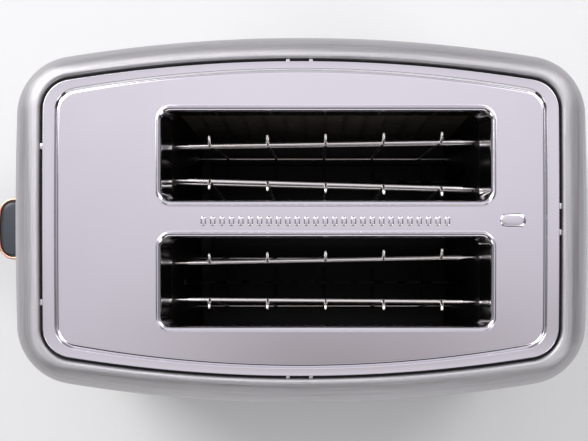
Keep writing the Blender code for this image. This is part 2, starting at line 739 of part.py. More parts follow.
def make_base():
    """Plastic tub: flush skirt, ledge under the sleeve, upstand inside it, and a floor."""
    ledge = SLEEVE_BOTTOM - CLEARANCE
    upstand = SLEEVE_TAPER + SLEEVE_SHEET + CLEARANCE
    profile = (
        (SLEEVE_TAPER + BASE_CHAMFER, FOOT_HEIGHT),
        (SLEEVE_TAPER, FOOT_HEIGHT + BASE_CHAMFER),
        (SLEEVE_TAPER, ledge),
        (upstand, ledge),
        (upstand, UPSTAND_TOP),
        (upstand + BASE_WALL, UPSTAND_TOP),
        (upstand + BASE_WALL, FLOOR_TOP),
    )
    rings = [level(body_outline(0.0, inset), height) for inset, height in profile]
    base = add_piece("base", loft(rings), PLASTIC_BLACK)
    half_opening = TRAY_HALF_WIDTH + 2 * CLEARANCE
    wall_inner = HALF_LENGTH - upstand - BASE_WALL - OVERRUN
    cut(base, block((wall_inner, -half_opening, FLOOR_TOP),
                    (HALF_LENGTH + OVERRUN, half_opening, FLOOR_TOP + TRAY_OPENING_HEIGHT)))
    gland_hole = GLAND_RADIUS + CLEARANCE
    gland_start = gland_face_x() - BASE_WALL - GLAND_INNER_LENGTH - OVERRUN
    cut(base, turned_along((-GLAND_PLACE, GLAND_HEIGHT),
                           ((gland_start, gland_hole), (HALF_LENGTH + OVERRUN, gland_hole)), GLAND_SIDES))
    for place in foot_places():
        cut(base, turned_up(place, ((FOOT_HEIGHT - OVERRUN, FOOT_PEG_RADIUS + CLEARANCE),
                                    (FLOOR_TOP + OVERRUN, FOOT_PEG_RADIUS + CLEARANCE)), SCREW_SIDES))
    sink = ((FOOT_HEIGHT - OVERRUN, SCREW_HEAD_RADIUS + CLEARANCE),
            (FOOT_HEIGHT + SCREW_SINK, SCREW_HEAD_RADIUS + CLEARANCE))
    screw_hole = ((FOOT_HEIGHT - OVERRUN, SCREW_RADIUS + CLEARANCE),
                  (FLOOR_TOP + OVERRUN, SCREW_RADIUS + CLEARANCE))
    for place in screw_places():
        cut(base, turned_up(place, sink, SCREW_SIDES))
        cut(base, turned_up(place, screw_hole, SCREW_SIDES))


def gland_face_x():
    """Where the gland's flange meets the curved rear wall of the base."""
    return end_face_x(GLAND_PLACE - GLAND_FLANGE_RADIUS, SLEEVE_TAPER)


def foot_places():
    reach_x = HALF_LENGTH - FOOT_INSET_END
    reach_y = HALF_WIDTH - FOOT_INSET_SIDE
    return [(x, y) for x in (-reach_x, reach_x) for y in (-reach_y, reach_y)]


def screw_places():
    lever_x = LEVER_PLATE_BACK - TAB_LENGTH / 2
    rear_x = REAR_PLATE_X + CHAMBER_SHEET + TAB_LENGTH / 2
    return [(x, y) for x in (lever_x, rear_x) for y in (-SCREW_PLACE, SCREW_PLACE)]


def make_feet():
    top = FOOT_HEIGHT - CLEARANCE
    profile = ((0.0, FOOT_RADIUS - FOOT_EDGE), (FOOT_EDGE, FOOT_RADIUS), (top, FOOT_RADIUS),
               (top, FOOT_PEG_RADIUS), (FLOOR_TOP - CLEARANCE, FOOT_PEG_RADIUS))
    names = ("foot_lever_front", "foot_lever_back", "foot_rear_front", "foot_rear_back")
    for name, place in zip(names, foot_places()):
        add_piece(name, turned_up(place, profile, SCREW_SIDES * 2), RUBBER)


def make_base_screws():
    seat = FOOT_HEIGHT + SCREW_SINK - CLEARANCE
    profile = ((seat - SCREW_HEAD_HEIGHT, SCREW_HEAD_RADIUS), (seat, SCREW_HEAD_RADIUS),
               (seat, SCREW_RADIUS), (seat + SCREW_LENGTH, SCREW_RADIUS))
    names = ("screw_lever_front", "screw_lever_back", "screw_rear_front", "screw_rear_back")
    for name, place in zip(names, screw_places()):
        add_piece(name, turned_up(place, profile, SCREW_SIDES), STEEL_PLATED)


def make_end_plate(name, inner_x, outward, tab_places):
    """Steel end of the chamber: legs astride the tray, tabs, rack slits and guide holes."""
    outer_x = inner_x + outward * CHAMBER_SHEET
    low_x, high_x = sorted((inner_x, outer_x))
    half_width = END_PLATE_HALF_WIDTH
    plate = add_piece(name, block((low_x, -half_width, STAND), (high_x, half_width, CHAMBER_TOP)),
                      STEEL_PLATED)
    for x, y in tab_places:
        low_y, high_y = sorted((math.copysign(TRAY_HALF_WIDTH + 4 * CLEARANCE, y),
                                math.copysign(half_width - CLEARANCE, y)))
        tab_low, tab_high = sorted((inner_x + outward * CHAMBER_SHEET / 2, outer_x + outward * TAB_LENGTH))
        join(plate, block((tab_low, low_y, STAND), (tab_high, high_y, STAND + CHAMBER_SHEET)))
        cut(plate, turned_up((x, y), ((STAND - OVERRUN, SCREW_RADIUS + CLEARANCE),
                                      (STAND + OVERRUN, SCREW_RADIUS + CLEARANCE)), SCREW_SIDES))
    notch = TRAY_HALF_WIDTH + 2 * CLEARANCE
    cut(plate, block((low_x - OVERRUN, -notch, STAND - OVERRUN),
                     (high_x + OVERRUN, notch, FLOOR_TOP + TRAY_OPENING_HEIGHT)))
    slit = RACK_THICKNESS / 2 + SLIT_CLEARANCE
    for slot_y in (-SLOT_Y, SLOT_Y):
        cut(plate, block((low_x - OVERRUN, slot_y - slit, RACK_BOTTOM - SLIT_CLEARANCE),
                         (high_x + OVERRUN, slot_y + slit, RACK_TOP + LEVER_TRAVEL + SLIT_CLEARANCE)))
        for side in (-1, 1):
            hole = GUIDE_PIVOT_RADIUS + CLEARANCE
            centre = (slot_y + side * GUIDE_PIVOT_OFFSET, GUIDE_PIVOT_HEIGHT)
            cut(plate, turned_along(centre, ((low_x - OVERRUN, hole), (high_x + OVERRUN, hole)),
                                    RAIL_SIDES))


def make_end_plates():
    lever_tabs = [place for place in screw_places() if place[0] < 0]
    rear_tabs = [place for place in screw_places() if place[0] > 0]
    make_end_plate("lever_end_plate", LEVER_PLATE_X, -1, lever_tabs)
    make_end_plate("rear_end_plate", REAR_PLATE_X, 1, rear_tabs)


def make_reflectors():
    """Side sheets that close the chamber and throw the heat back at the bread."""
    low_x = LEVER_PLATE_X + CLEARANCE
    high_x = REAR_PLATE_X - CLEARANCE
    for name, side in (("reflector_front", -1), ("reflector_back", 1)):
        inner = side * REFLECTOR_SPACING / 2
        low_y, high_y = sorted((inner, inner + side * CHAMBER_SHEET))
        add_piece(name, block((low_x, low_y, REFLECTOR_BOTTOM), (high_x, high_y, CHAMBER_TOP)),
                  STEEL_PLATED)


def ribbon_path(board_y):
    """Centre line of a ribbon wound over and under a board, climbing along X as it goes.

    Each loop runs up the front face, over the top edge, down the back face at a slant,
    and under the bottom edge into the next loop.
    """
    reach = BOARD_THICKNESS / 2 + RIBBON_STANDOFF + RIBBON_THICKNESS / 2
    bottom = BOARD_BOTTOM - reach
    top = BOARD_TOP + reach
    start = SLOT_OFFSET - RIBBON_PITCH * RIBBON_LOOPS / 2
    corner_shares = ((0.00, -1, bottom), (0.02, -1, top), (0.06, 1, top), (0.96, 1, bottom))
    points = []
    for loop in range(RIBBON_LOOPS):
        for advance_share, side, height in corner_shares:
            x = start + (loop + advance_share) * RIBBON_PITCH
            points.append((x, board_y + side * reach, height))
    return np.array(points)


def ribbon(board_y):
    """Flat strip along the ribbon path: its width lies along X, its thickness off the board."""
    path = ribbon_path(board_y)
    middle = np.array([0.0, board_y, (BOARD_BOTTOM + BOARD_TOP) / 2])
    away = np.sign(path - middle) * (0, 1, 1)
    half_thickness = RIBBON_THICKNESS / 2
    half_width = np.array([RIBBON_WIDTH / 2, 0.0, 0.0])
    outer = path + away * half_thickness
    inner = path - away * half_thickness
    rings = [np.array([i - half_width, i + half_width, o + half_width, o - half_width])
             for i, o in zip(inner, outer)]
    return loft(rings)


def report_ribbon_gap():
    """Print the least gap between neighbouring runs of one ribbon, measured on its points."""
    path = ribbon_path(0.0)
    starts, ends = path[:-1], path[1:]
    steps = np.linspace(0, 1, RIBBON_SAMPLES)[:, None, None]
    samples = starts + (ends - starts) * steps
    section = (RIBBON_WIDTH, RIBBON_THICKNESS, RIBBON_THICKNESS)
    least = math.inf
    for first in range(len(starts)):
        for second in range(first + 2, len(starts)):
            offsets = abs(samples[:, None, first] - samples[None, :, second]) - section
            least = min(least, float(offsets.max(axis=-1).min()))
    print(f"heater ribbon: least gap to itself {least / MM:.2f} mm")


def make_heaters():
    low_x = LEVER_PLATE_X + CLEARANCE
    high_x = REAR_PLATE_X - CLEARANCE
    places = (("front", -BOARD_SPACING), ("middle", 0.0), ("back", BOARD_SPACING))
    for name, board_y in places:
        half = BOARD_THICKNESS / 2
        board = block((low_x, board_y - half, BOARD_BOTTOM),
                      (high_x, board_y + half, BOARD_TOP))
        add_piece(f"heater_board_{name}", board, MICA)
        add_piece(f"heater_ribbon_{name}", ribbon(board_y), HEATER, smooth=False)
    report_ribbon_gap()


def guide_point(name, x, height, pivot_y, inward):
    """A point of a guide: it leans in from its pivot and splays out along X."""
    share = (height - GUIDE_PIVOT_HEIGHT) / (GUIDE_RAIL_HEIGHT - GUIDE_PIVOT_HEIGHT)
    lean = GUIDE_PIVOT_OFFSET - GUIDE_CLOSED_OFFSETS[name]
    y = pivot_y + inward * share * (lean - GUIDE_SPLAY_SHARES[name] * (x - SLOT_OFFSET))
    return (x, y, height)


def make_guide(name, slot_y, outward):
    """Wire frame: pivot wire, two rails and upright wires whose tips turn outwards."""
    pivot_y = slot_y + outward * GUIDE_PIVOT_OFFSET
    pivot = (SLOT_OFFSET, pivot_y, GUIDE_PIVOT_HEIGHT)
    end_low = LEVER_PLATE_BACK - GUIDE_PIVOT_RADIUS
    end_high = REAR_PLATE_X + CHAMBER_SHEET + GUIDE_PIVOT_RADIUS
    pivot_wire = tube([(end_low, pivot_y, GUIDE_PIVOT_HEIGHT), (end_high, pivot_y, GUIDE_PIVOT_HEIGHT)],
                      GUIDE_PIVOT_RADIUS, RAIL_SIDES)
    guide = add_piece(name, pivot_wire, WIRE_CHROME, origin=pivot)
    thin_reach = CHAMBER_LENGTH / 2 - 2 * CLEARANCE
    rails = (
        (GUIDE_RAIL_HEIGHT, GUIDE_RAIL_RADIUS, GUIDE_RAIL_LENGTH / 2, RAIL_SIDES),
        (GUIDE_RAIL_HEIGHT - GUIDE_WIRE_RADIUS, GUIDE_THIN_RADIUS, thin_reach, WIRE_SIDES),
        (GUIDE_RAIL_HEIGHT - GUIDE_LOWER_RAIL_DROP, GUIDE_THIN_RADIUS, thin_reach, WIRE_SIDES),
    )
    for height, radius, reach, sides in rails:
        ends = [guide_point(name, SLOT_OFFSET + way * reach, height, pivot_y, -outward)
                for way in (-1, 1)]
        join(guide, tube(ends, radius, sides))
    first = SLOT_OFFSET - GUIDE_WIRE_PITCH * (GUIDE_WIRES - 1) / 2
    for wire in range(GUIDE_WIRES):
        x = first + wire * GUIDE_WIRE_PITCH
        foot = guide_point(name, x, GUIDE_PIVOT_HEIGHT, pivot_y, -outward)
        knee = guide_point(name, x, GUIDE_RAIL_HEIGHT, pivot_y, -outward)
        bend = np.add(knee, (0, outward * GUIDE_BEND_OUT, GUIDE_BEND_RISE))
        tip = np.add(knee, (0, outward * GUIDE_TIP_OUT, GUIDE_TIP_RISE))
        join(guide, tube([foot, knee, bend, tip], GUIDE_WIRE_RADIUS, WIRE_SIDES))


def make_guides():
    for slot, slot_y in (("front", -SLOT_Y), ("back", SLOT_Y)):
        away = math.copysign(1, slot_y)
        make_guide(f"guide_{slot}_outer", slot_y, away)
        make_guide(f"guide_{slot}_inner", slot_y, -away)


def make_racks():
    """Bars that carry the bread, through slits in both end plates, with cross rods."""
    low_x = CARRIAGE_X + CLEARANCE
    high_x = REAR_PLATE_X + CHAMBER_SHEET + RACK_TAIL
    half = RACK_THICKNESS / 2
    first = SLOT_OFFSET - RACK_ROD_PITCH * (RACK_RODS - 1) / 2
    rod_height = RACK_TOP - RACK_ROD_SINK
    for name, slot_y in (("lift_rack_front", -SLOT_Y), ("lift_rack_back", SLOT_Y)):
        bar = block((low_x, slot_y - half, RACK_BOTTOM), (high_x, slot_y + half, RACK_TOP))
        rack = add_piece(name, bar, STEEL_PLATED)
        for rod in range(RACK_RODS):
            x = first + rod * RACK_ROD_PITCH
            ends = [(x, slot_y - RACK_ROD_HALF, rod_height), (x, slot_y + RACK_ROD_HALF, rod_height)]
            join(rack, tube(ends, RACK_ROD_RADIUS, WIRE_SIDES))


def post_places():
    return [(POST_X, -POST_SPACING / 2), (POST_X, POST_SPACING / 2)]


def make_carriage():
    """Sheet that joins the racks and the lever, with two bushes on the guide posts."""
    sheet = block((CARRIAGE_BACK, -CARRIAGE_HALF_WIDTH, CARRIAGE_BOTTOM),
                  (CARRIAGE_X, CARRIAGE_HALF_WIDTH, CARRIAGE_BOTTOM + CARRIAGE_HEIGHT))
    carriage = add_piece("carriage", sheet, STEEL_PLATED)
    inside = CARRIAGE_BACK + CARRIAGE_SHEET / 2
    join(carriage, block((CARRIAGE_BACK, -TONGUE_HALF_WIDTH, CARRIAGE_BOTTOM + CARRIAGE_HEIGHT / 2),
                         (CARRIAGE_X, TONGUE_HALF_WIDTH, TONGUE_TOP)))
    bush_bottom = CARRIAGE_BOTTOM + CLEARANCE
    for x, y in post_places():
        join(carriage, block((x - BUSH_HALF_WIDTH, y - BUSH_HALF_WIDTH, bush_bottom),
                             (inside, y + BUSH_HALF_WIDTH, bush_bottom + BUSH_HEIGHT)))
        bore = POST_RADIUS + CLEARANCE
        cut(carriage, turned_up((x, y), ((bush_bottom - OVERRUN, bore),
                                         (bush_bottom + BUSH_HEIGHT + OVERRUN, bore)), POST_SIDES))
    lug_top = CARRIAGE_BOTTOM + CARRIAGE_HEIGHT - CLEARANCE
    join(carriage, block((POST_X - SPRING_LUG_HALF_WIDTH, SPRING_PLACE - SPRING_LUG_HALF_WIDTH,
                          lug_top - SPRING_LUG_HEIGHT),
                         (inside, CARRIAGE_HALF_WIDTH - CLEARANCE, lug_top)))
    make_lift_guides(lug_top)


def make_lift_guides(lug_top):
    """Two posts, the bridge over them, and the spring that lifts the carriage."""
    for name, place in zip(("guide_post_front", "guide_post_back"), post_places()):
        add_piece(name, turned_up(place, ((STAND, POST_RADIUS), (POST_TOP, POST_RADIUS)), POST_SIDES),
                  STEEL_PLATED)
    bridge_bottom = POST_TOP + CLEARANCE
    reach = POST_SPACING / 2 + BRIDGE_MARGIN
    add_piece("post_bridge", block((POST_X - BRIDGE_MARGIN, -reach, bridge_bottom),
                                   (LEVER_PLATE_BACK - CLEARANCE, SPRING_PLACE + BRIDGE_MARGIN,
                                    bridge_bottom + BRIDGE_SHEET)),
              STEEL_PLATED)
    spring = ((lug_top + CLEARANCE, SPRING_RADIUS), (POST_TOP, SPRING_RADIUS))
    add_piece("return_spring", turned_up((POST_X, SPRING_PLACE), spring, POST_SIDES), STEEL_PLATED)


def make_latch():
    """Keeper on the carriage over an electromagnet that stands on the floor."""
    keeper_top = CARRIAGE_BOTTOM - CLEARANCE
    keeper_bottom = keeper_top - KEEPER_SHEET
    far_x = CARRIAGE_X - KEEPER_LENGTH
    add_piece("latch_keeper", block((far_x, -KEEPER_HALF_WIDTH, keeper_bottom),
                                    (CARRIAGE_X, KEEPER_HALF_WIDTH, keeper_top)), STEEL_PLATED)
    core_low = far_x + MAGNET_SETBACK
    core_high = core_low + MAGNET_LENGTH
    core_top = keeper_bottom - CLEARANCE
    add_piece("magnet_core", block((core_low, -MAGNET_HALF_WIDTH, STAND),
                                   (core_high, MAGNET_HALF_WIDTH, core_top)), STEEL_PLATED)
    coil_bottom = STAND + COIL_LIFT
    centre = ((core_low + core_high) / 2, 0.0)
    hole_length = MAGNET_LENGTH / 2 + CLEARANCE
    hole_width = MAGNET_HALF_WIDTH + CLEARANCE
    hole = rounded_rectangle(hole_length, hole_width, CLEARANCE) + centre
    outer = rounded_rectangle(hole_length + COIL_WALL, hole_width + COIL_WALL, COIL_WALL) + centre
    rings = [level(outer, coil_bottom), level(outer, coil_bottom + COIL_HEIGHT),
             level(hole, coil_bottom + COIL_HEIGHT), level(hole, coil_bottom)]
    add_piece("magnet_coil", loft(rings, closed=True), COIL_WIRE)


def knob_outline(inset):
    corner = KNOB_CORNER - inset
    quarter = bowed_quarter(KNOB_DEPTH / 2 - inset, KNOB_WIDTH / 2 - inset, KNOB_SIDE_BOW, KNOB_BOW, corner,
                            KNOB_STEPS)
    return full_outline(quarter) + (KNOB_X, 0.0)


def make_lever():
    half_height = LEVER_BAR_HEIGHT / 2
    half_width = LEVER_BAR_WIDTH / 2
    tip_x = KNOB_X - KNOB_DEPTH / 2 + LEVER_GRIP
    add_piece("lever_arm", block((tip_x, -half_width, LEVER_HEIGHT - half_height),
                                 (CARRIAGE_BACK - CLEARANCE, half_width, LEVER_HEIGHT + half_height)),
              STEEL_PLATED)
    pocket = block((tip_x - CLEARANCE, -half_width - CLEARANCE, LEVER_HEIGHT - half_height - CLEARANCE),
                   (KNOB_X + KNOB_DEPTH, half_width + CLEARANCE, LEVER_HEIGHT + half_height + CLEARANCE))
    bottom = LEVER_HEIGHT - KNOB_HEIGHT / 2
    top = LEVER_HEIGHT + KNOB_HEIGHT / 2
    skin = TRIM_THICKNESS + CLEARANCE
    rings = [level(knob_outline(skin + KNOB_EDGE), bottom), level(knob_outline(skin), bottom + KNOB_EDGE),
             level(knob_outline(skin), top - KNOB_EDGE), level(knob_outline(skin + KNOB_EDGE), top)]
    knob = add_piece("lever_knob", loft(rings), PLASTIC_SLATE)
    cut(knob, pocket)
    low = bottom + TRIM_SETBACK
    high = top - TRIM_SETBACK
    rings = [level(knob_outline(0.0), low), level(knob_outline(0.0), high),
             level(knob_outline(TRIM_THICKNESS), high), level(knob_outline(TRIM_THICKNESS), low)]
    trim = add_piece("knob_trim", loft(rings, closed=True), COPPER)
    cut(trim, pocket)


def panel_outline(grow=0.0):
    half_height = (PANEL_TOP - PANEL_BOTTOM) / 2
    centre = (0.0, (PANEL_TOP + PANEL_BOTTOM) / 2)
    return rounded_rectangle(PANEL_HALF_WIDTH + grow, half_height + grow, PANEL_CORNER + grow) + centre


def button_places():
    highest = PANEL_TOP - BUTTON_DROP
    lowest = highest - BUTTON_PITCH * (len(BUTTON_NAMES) - 1)
    return [(-BUTTON_PLACE, lowest + BUTTON_PITCH * place) for place in range(len(BUTTON_NAMES))]


def make_control_panel():
    """Panel in the sleeve's window, with a flange behind the sheet and holes for the controls."""
    window = panel_outline()
    flange = panel_outline(PANEL_FLANGE_WIDTH)
    rings = [upright(window, PANEL_FACE_X), upright(window, PANEL_MID_X),
             upright(flange, PANEL_MID_X), upright(flange, PANEL_INNER_X)]
    panel = add_piece("control_panel", loft(rings), PLASTIC_SLATE)
    low_x = PANEL_FACE_X - OVERRUN
    high_x = PANEL_INNER_X + OVERRUN
    slit_half = LEVER_BAR_WIDTH / 2 + LEVER_SLIT_MARGIN
    slit_bottom = LEVER_HEIGHT - LEVER_BAR_HEIGHT / 2 - LEVER_SLIT_MARGIN
    slit_top = LEVER_HEIGHT + LEVER_BAR_HEIGHT / 2 + LEVER_TRAVEL + LEVER_SLIT_MARGIN
    cut(panel, block((low_x, -slit_half, slit_bottom), (high_x, slit_half, slit_top)))
    shaft_hole = SHAFT_RADIUS + 2 * CLEARANCE
    cut(panel, turned_along((0.0, DIAL_HEIGHT), ((low_x, shaft_hole), (high_x, shaft_hole)), SHAFT_SIDES))
    hole = rounded_rectangle(BUTTON_HALF_WIDTH + CLEARANCE, BUTTON_HALF_HEIGHT + CLEARANCE,
                             BUTTON_CORNER + CLEARANCE)
    for place in button_places():
        cut(panel, loft([upright(hole + place, low_x), upright(hole + place, high_x)]))


def make_buttons():
    """Pill-shaped buttons, flanged behind the panel, each with a stem to its switch."""
    face_x = PANEL_FACE_X - BUTTON_PROUD
    flange_x = PANEL_INNER_X + CLEARANCE
    switch_x = CIRCUIT_X - CLEARANCE - SWITCH_DEPTH
    stem_x = switch_x - BUTTON_TRAVEL - SWITCH_REST_GAP
    face = rounded_rectangle(BUTTON_HALF_WIDTH - BUTTON_EDGE, BUTTON_HALF_HEIGHT - BUTTON_EDGE,
                             BUTTON_CORNER - BUTTON_EDGE)
    body = rounded_rectangle(BUTTON_HALF_WIDTH, BUTTON_HALF_HEIGHT, BUTTON_CORNER)
    flange = rounded_rectangle(BUTTON_HALF_WIDTH + BUTTON_FLANGE, BUTTON_HALF_HEIGHT + BUTTON_FLANGE,
                               BUTTON_CORNER + BUTTON_FLANGE)
    stem = rounded_rectangle(BUTTON_STEM_HALF, BUTTON_STEM_HALF, BUTTON_STEM_CORNER)
    flange_back = flange_x + BUTTON_FLANGE_DEPTH
    levels = ((face, face_x), (body, face_x + BUTTON_EDGE), (body, flange_x), (flange, flange_x),
              (flange, flange_back), (stem, flange_back), (stem, stem_x))
    for name, place in zip(BUTTON_NAMES, button_places()):
        rings = [upright(outline + place, x) for outline, x in levels]
        add_piece(name, loft(rings), PLASTIC_BLACK, origin=(face_x, *place))
        switch = rounded_rectangle(SWITCH_HALF, SWITCH_HALF, CLEARANCE) + place
        add_piece(name.replace("button", "switch"),
                  loft([upright(switch, switch_x), upright(switch, CIRCUIT_X - CLEARANCE)]), PLASTIC_BLACK)


def make_dial():
    """Browning dial, the ring round it, its shaft and the potentiometer behind it."""
    centre = (0.0, DIAL_HEIGHT)
    seat_x = PANEL_FACE_X - CLEARANCE
    face_x = seat_x - DIAL_DEPTH
    bore = SHAFT_RADIUS + CLEARANCE
    bore_x = seat_x - SHAFT_GRIP - CLEARANCE
    face_radius = DIAL_RADIUS - DIAL_DRAFT
    profile = ((face_x, face_radius - DIAL_EDGE), (face_x + DIAL_EDGE, face_radius),
               (seat_x, DIAL_RADIUS), (seat_x, bore), (bore_x, bore))
    dial = add_piece("browning_dial", turned_along(centre, profile, DIAL_SIDES), PLASTIC_SLATE,
                     origin=(seat_x, *centre))
    mark_high = DIAL_HEIGHT + face_radius - 2 * DIAL_EDGE
    cut(dial, block((face_x - OVERRUN, -DIAL_MARK_WIDTH / 2, mark_high - DIAL_MARK_LENGTH),
                    (face_x + DIAL_MARK_DEPTH, DIAL_MARK_WIDTH / 2, mark_high)))
    inner = DIAL_RADIUS + 2 * CLEARANCE
    outer = inner + DIAL_RING_WIDTH
    ring = ((seat_x, outer), (seat_x - DIAL_RING_HEIGHT, outer - DIAL_EDGE),
            (seat_x - DIAL_RING_HEIGHT, inner), (seat_x, inner))
    add_piece("dial_ring", turned_along(centre, ring, DIAL_SIDES, closed=True), COPPER)
    pot_back = CIRCUIT_X - CLEARANCE
    pot_front = pot_back - POT_DEPTH
    add_piece("potentiometer", turned_along(centre, ((pot_front, POT_RADIUS), (pot_back, POT_RADIUS)),
                                            POST_SIDES), PLASTIC_BLACK)
    shaft = ((seat_x - SHAFT_GRIP, SHAFT_RADIUS), (pot_front - CLEARANCE, SHAFT_RADIUS))
    add_piece("dial_shaft", turned_along(centre, shaft, SHAFT_SIDES), STEEL_PLATED,
              origin=(seat_x, *centre))


def make_circuit_board():
    """L-shaped board on the floor: wide behind the dial, narrow beside the lever."""
    outline = np.array([
        (-CIRCUIT_HALF_WIDTH, STAND), (CIRCUIT_HALF_WIDTH, STAND), (CIRCUIT_HALF_WIDTH, CIRCUIT_STEP),
        (-CIRCUIT_INNER, CIRCUIT_STEP), (-CIRCUIT_INNER, CIRCUIT_TOP), (-CIRCUIT_HALF_WIDTH, CIRCUIT_TOP),
    ])
    rings = [upright(outline, CIRCUIT_X), upright(outline, CIRCUIT_X + CIRCUIT_SHEET)]
    add_piece("circuit_board", loft(rings), CIRCUIT)


def make_crumb_tray():
    """Shallow pan that slides out at the rear, and the handle that closes its opening."""
    low_x = -TRAY_FRONT
    opening_x = end_face_x(TRAY_HALF_WIDTH, SLEEVE_TAPER)
    high_x = opening_x - HANDLE_DEPTH
    pan = block((low_x, -TRAY_HALF_WIDTH, STAND), (high_x, TRAY_HALF_WIDTH, TRAY_TOP))
    tray = add_piece("crumb_tray", pan, STEEL_PLATED)
    cut(tray, block((low_x + TRAY_SHEET, -TRAY_HALF_WIDTH + TRAY_SHEET, STAND + TRAY_SHEET),
                    (high_x - TRAY_SHEET, TRAY_HALF_WIDTH - TRAY_SHEET, TRAY_TOP + OVERRUN)))
    handle_top = FLOOR_TOP + TRAY_OPENING_HEIGHT - CLEARANCE
    handle = add_piece("crumb_tray_handle",
                       block((high_x + CLEARANCE, -TRAY_HALF_WIDTH, STAND),
                             (opening_x, TRAY_HALF_WIDTH, handle_top)), PLASTIC_BLACK)
    reach = HALF_LENGTH + GRIP_REACH - opening_x + HANDLE_DEPTH / 2
    grip = rounded_rectangle(reach, GRIP_HALF_WIDTH, GRIP_CORNER) + (opening_x - HANDLE_DEPTH / 2, 0.0)
    grip[:, 0] = np.maximum(grip[:, 0], opening_x - HANDLE_DEPTH / 2)
    middle = (STAND + handle_top) / 2
    join(handle, loft([level(grip, middle - GRIP_THICKNESS / 2), level(grip, middle + GRIP_THICKNESS / 2)]))


def make_inlet():
    """Cord gland in the rear of the base, the terminal block and two leads to the board."""
    face_x = gland_face_x()
    seat_x = face_x + CLEARANCE
    inner_x = face_x - BASE_WALL - GLAND_INNER_LENGTH
    profile = ((inner_x, GLAND_BORE), (inner_x, GLAND_RADIUS), (seat_x, GLAND_RADIUS),
               (seat_x, GLAND_FLANGE_RADIUS), (seat_x + GLAND_FLANGE_DEPTH, GLAND_FLANGE_RADIUS),
               (seat_x + GLAND_FLANGE_DEPTH, GLAND_BORE))
    add_piece("cord_gland", turned_along((-GLAND_PLACE, GLAND_HEIGHT), profile, GLAND_SIDES, closed=True),
              PLASTIC_BLACK)
    block_high = inner_x - TERMINAL_GAP
    block_low = block_high - TERMINAL_LENGTH
    half = TERMINAL_WIDTH / 2
    add_piece("terminal_block", block((block_low, -GLAND_PLACE - half, STAND),
                                      (block_high, -GLAND_PLACE + half, STAND + TERMINAL_HEIGHT)),
              PLASTIC_BLACK)
    leads = (("lead_live", -1, LEAD_BROWN), ("lead_neutral", 1, LEAD_BLUE))
    for name, side, finish in leads:
        add_lead(name, lead_route(block_low - CLEARANCE, side), finish)


def lead_route(start_x, side):
    """Hand-placed points of one lead: block, lane beside the chamber, back of the board.

    The leads run one over the other along the chamber, above the upstand of the base.
    """
    place = -GLAND_PLACE + side * LEAD_SPACING / 2
    lane = -END_PLATE_HALF_WIDTH - LEAD_LANE_GAP - LEAD_RADIUS
    low = STAND + LEAD_RISE
    high = UPSTAND_TOP + LEAD_STEP / 2 + max(side, 0) * LEAD_STEP
    end_x = CIRCUIT_X + CIRCUIT_SHEET + CLEARANCE
    end_y = -CIRCUIT_HALF_WIDTH + LEAD_SPACING * (1 + side / 2)
    turn_x = end_x + side * LEAD_SPACING / 2
    return [
        (start_x, place, low),
        (start_x - LEAD_STUB, place, low),
        (start_x - LEAD_LANE_START, lane, high),
        (start_x - LEAD_LANE_RUN_IN, lane, high),
        (turn_x + LEAD_LANE_RUN_OUT, lane, high),
        (turn_x + LEAD_LANE_END, lane, high),
        (turn_x + LEAD_CROSSING, (lane + end_y) / 2, high),
        (turn_x + LEAD_BOARD_STUB, end_y, high),
        (end_x, end_y, high),
    ]


def smooth_route(points):
    """Points on a Catmull-Rom curve through the route's own points, as many on each stretch."""
    route = np.array(points, float)
    padded = np.vstack([2 * route[0] - route[1], route, 2 * route[-1] - route[-2]])
    samples = []
    for index in range(1, len(padded) - 2):
        before, start, end, after = padded[index - 1:index + 3]
        t = np.linspace(0, 1, LEAD_POINTS, endpoint=False)[:, None]
        linear = (end - before) * t
        square = (2 * before - 5 * start + 4 * end - after) * t ** 2
        cubic = (3 * start - before - 3 * end + after) * t ** 3
        samples.append(start + (linear + square + cubic) / 2)
    return np.vstack([*samples, route[-1:]])


def add_lead(name, points, finish):
    """A lead as a curve object with a round section and filled ends."""
    curve = bpy.data.curves.new(name, "CURVE")
    curve.dimensions = "3D"
    curve.bevel_depth = LEAD_RADIUS
    curve.bevel_resolution = 1
    curve.use_fill_caps = True
    path = smooth_route(points)
    spline = curve.splines.new("POLY")
    spline.points.add(len(path) - 1)
    spline.points.foreach_set("co", np.column_stack([path, np.ones(len(path))]).ravel())
    curve.materials.append(get_material(finish))
    lead = bpy.data.objects.new(name, curve)
    lead.parent = bpy.data.objects["toaster_body"]
    bpy.context.scene.collection.objects.link(lead)


def main():
    clear_scene()
    make_body_empty()
    make_outer_sleeve()
    make_top_plate()
    make_top_frame()
    make_base()
    make_feet()
    make_base_screws()
    make_end_plates()
    make_reflectors()
    make_heaters()
    make_guides()
    make_racks()
    make_carriage()
    make_latch()
    make_lever()
    make_control_panel()
    make_buttons()
    make_dial()
    make_circuit_board()
    make_crumb_tray()
    make_inlet()


main()
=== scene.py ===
"""Dresses the packed two-slot toaster: fine surfaces, finishes, studio light and camera."""

import json
import math

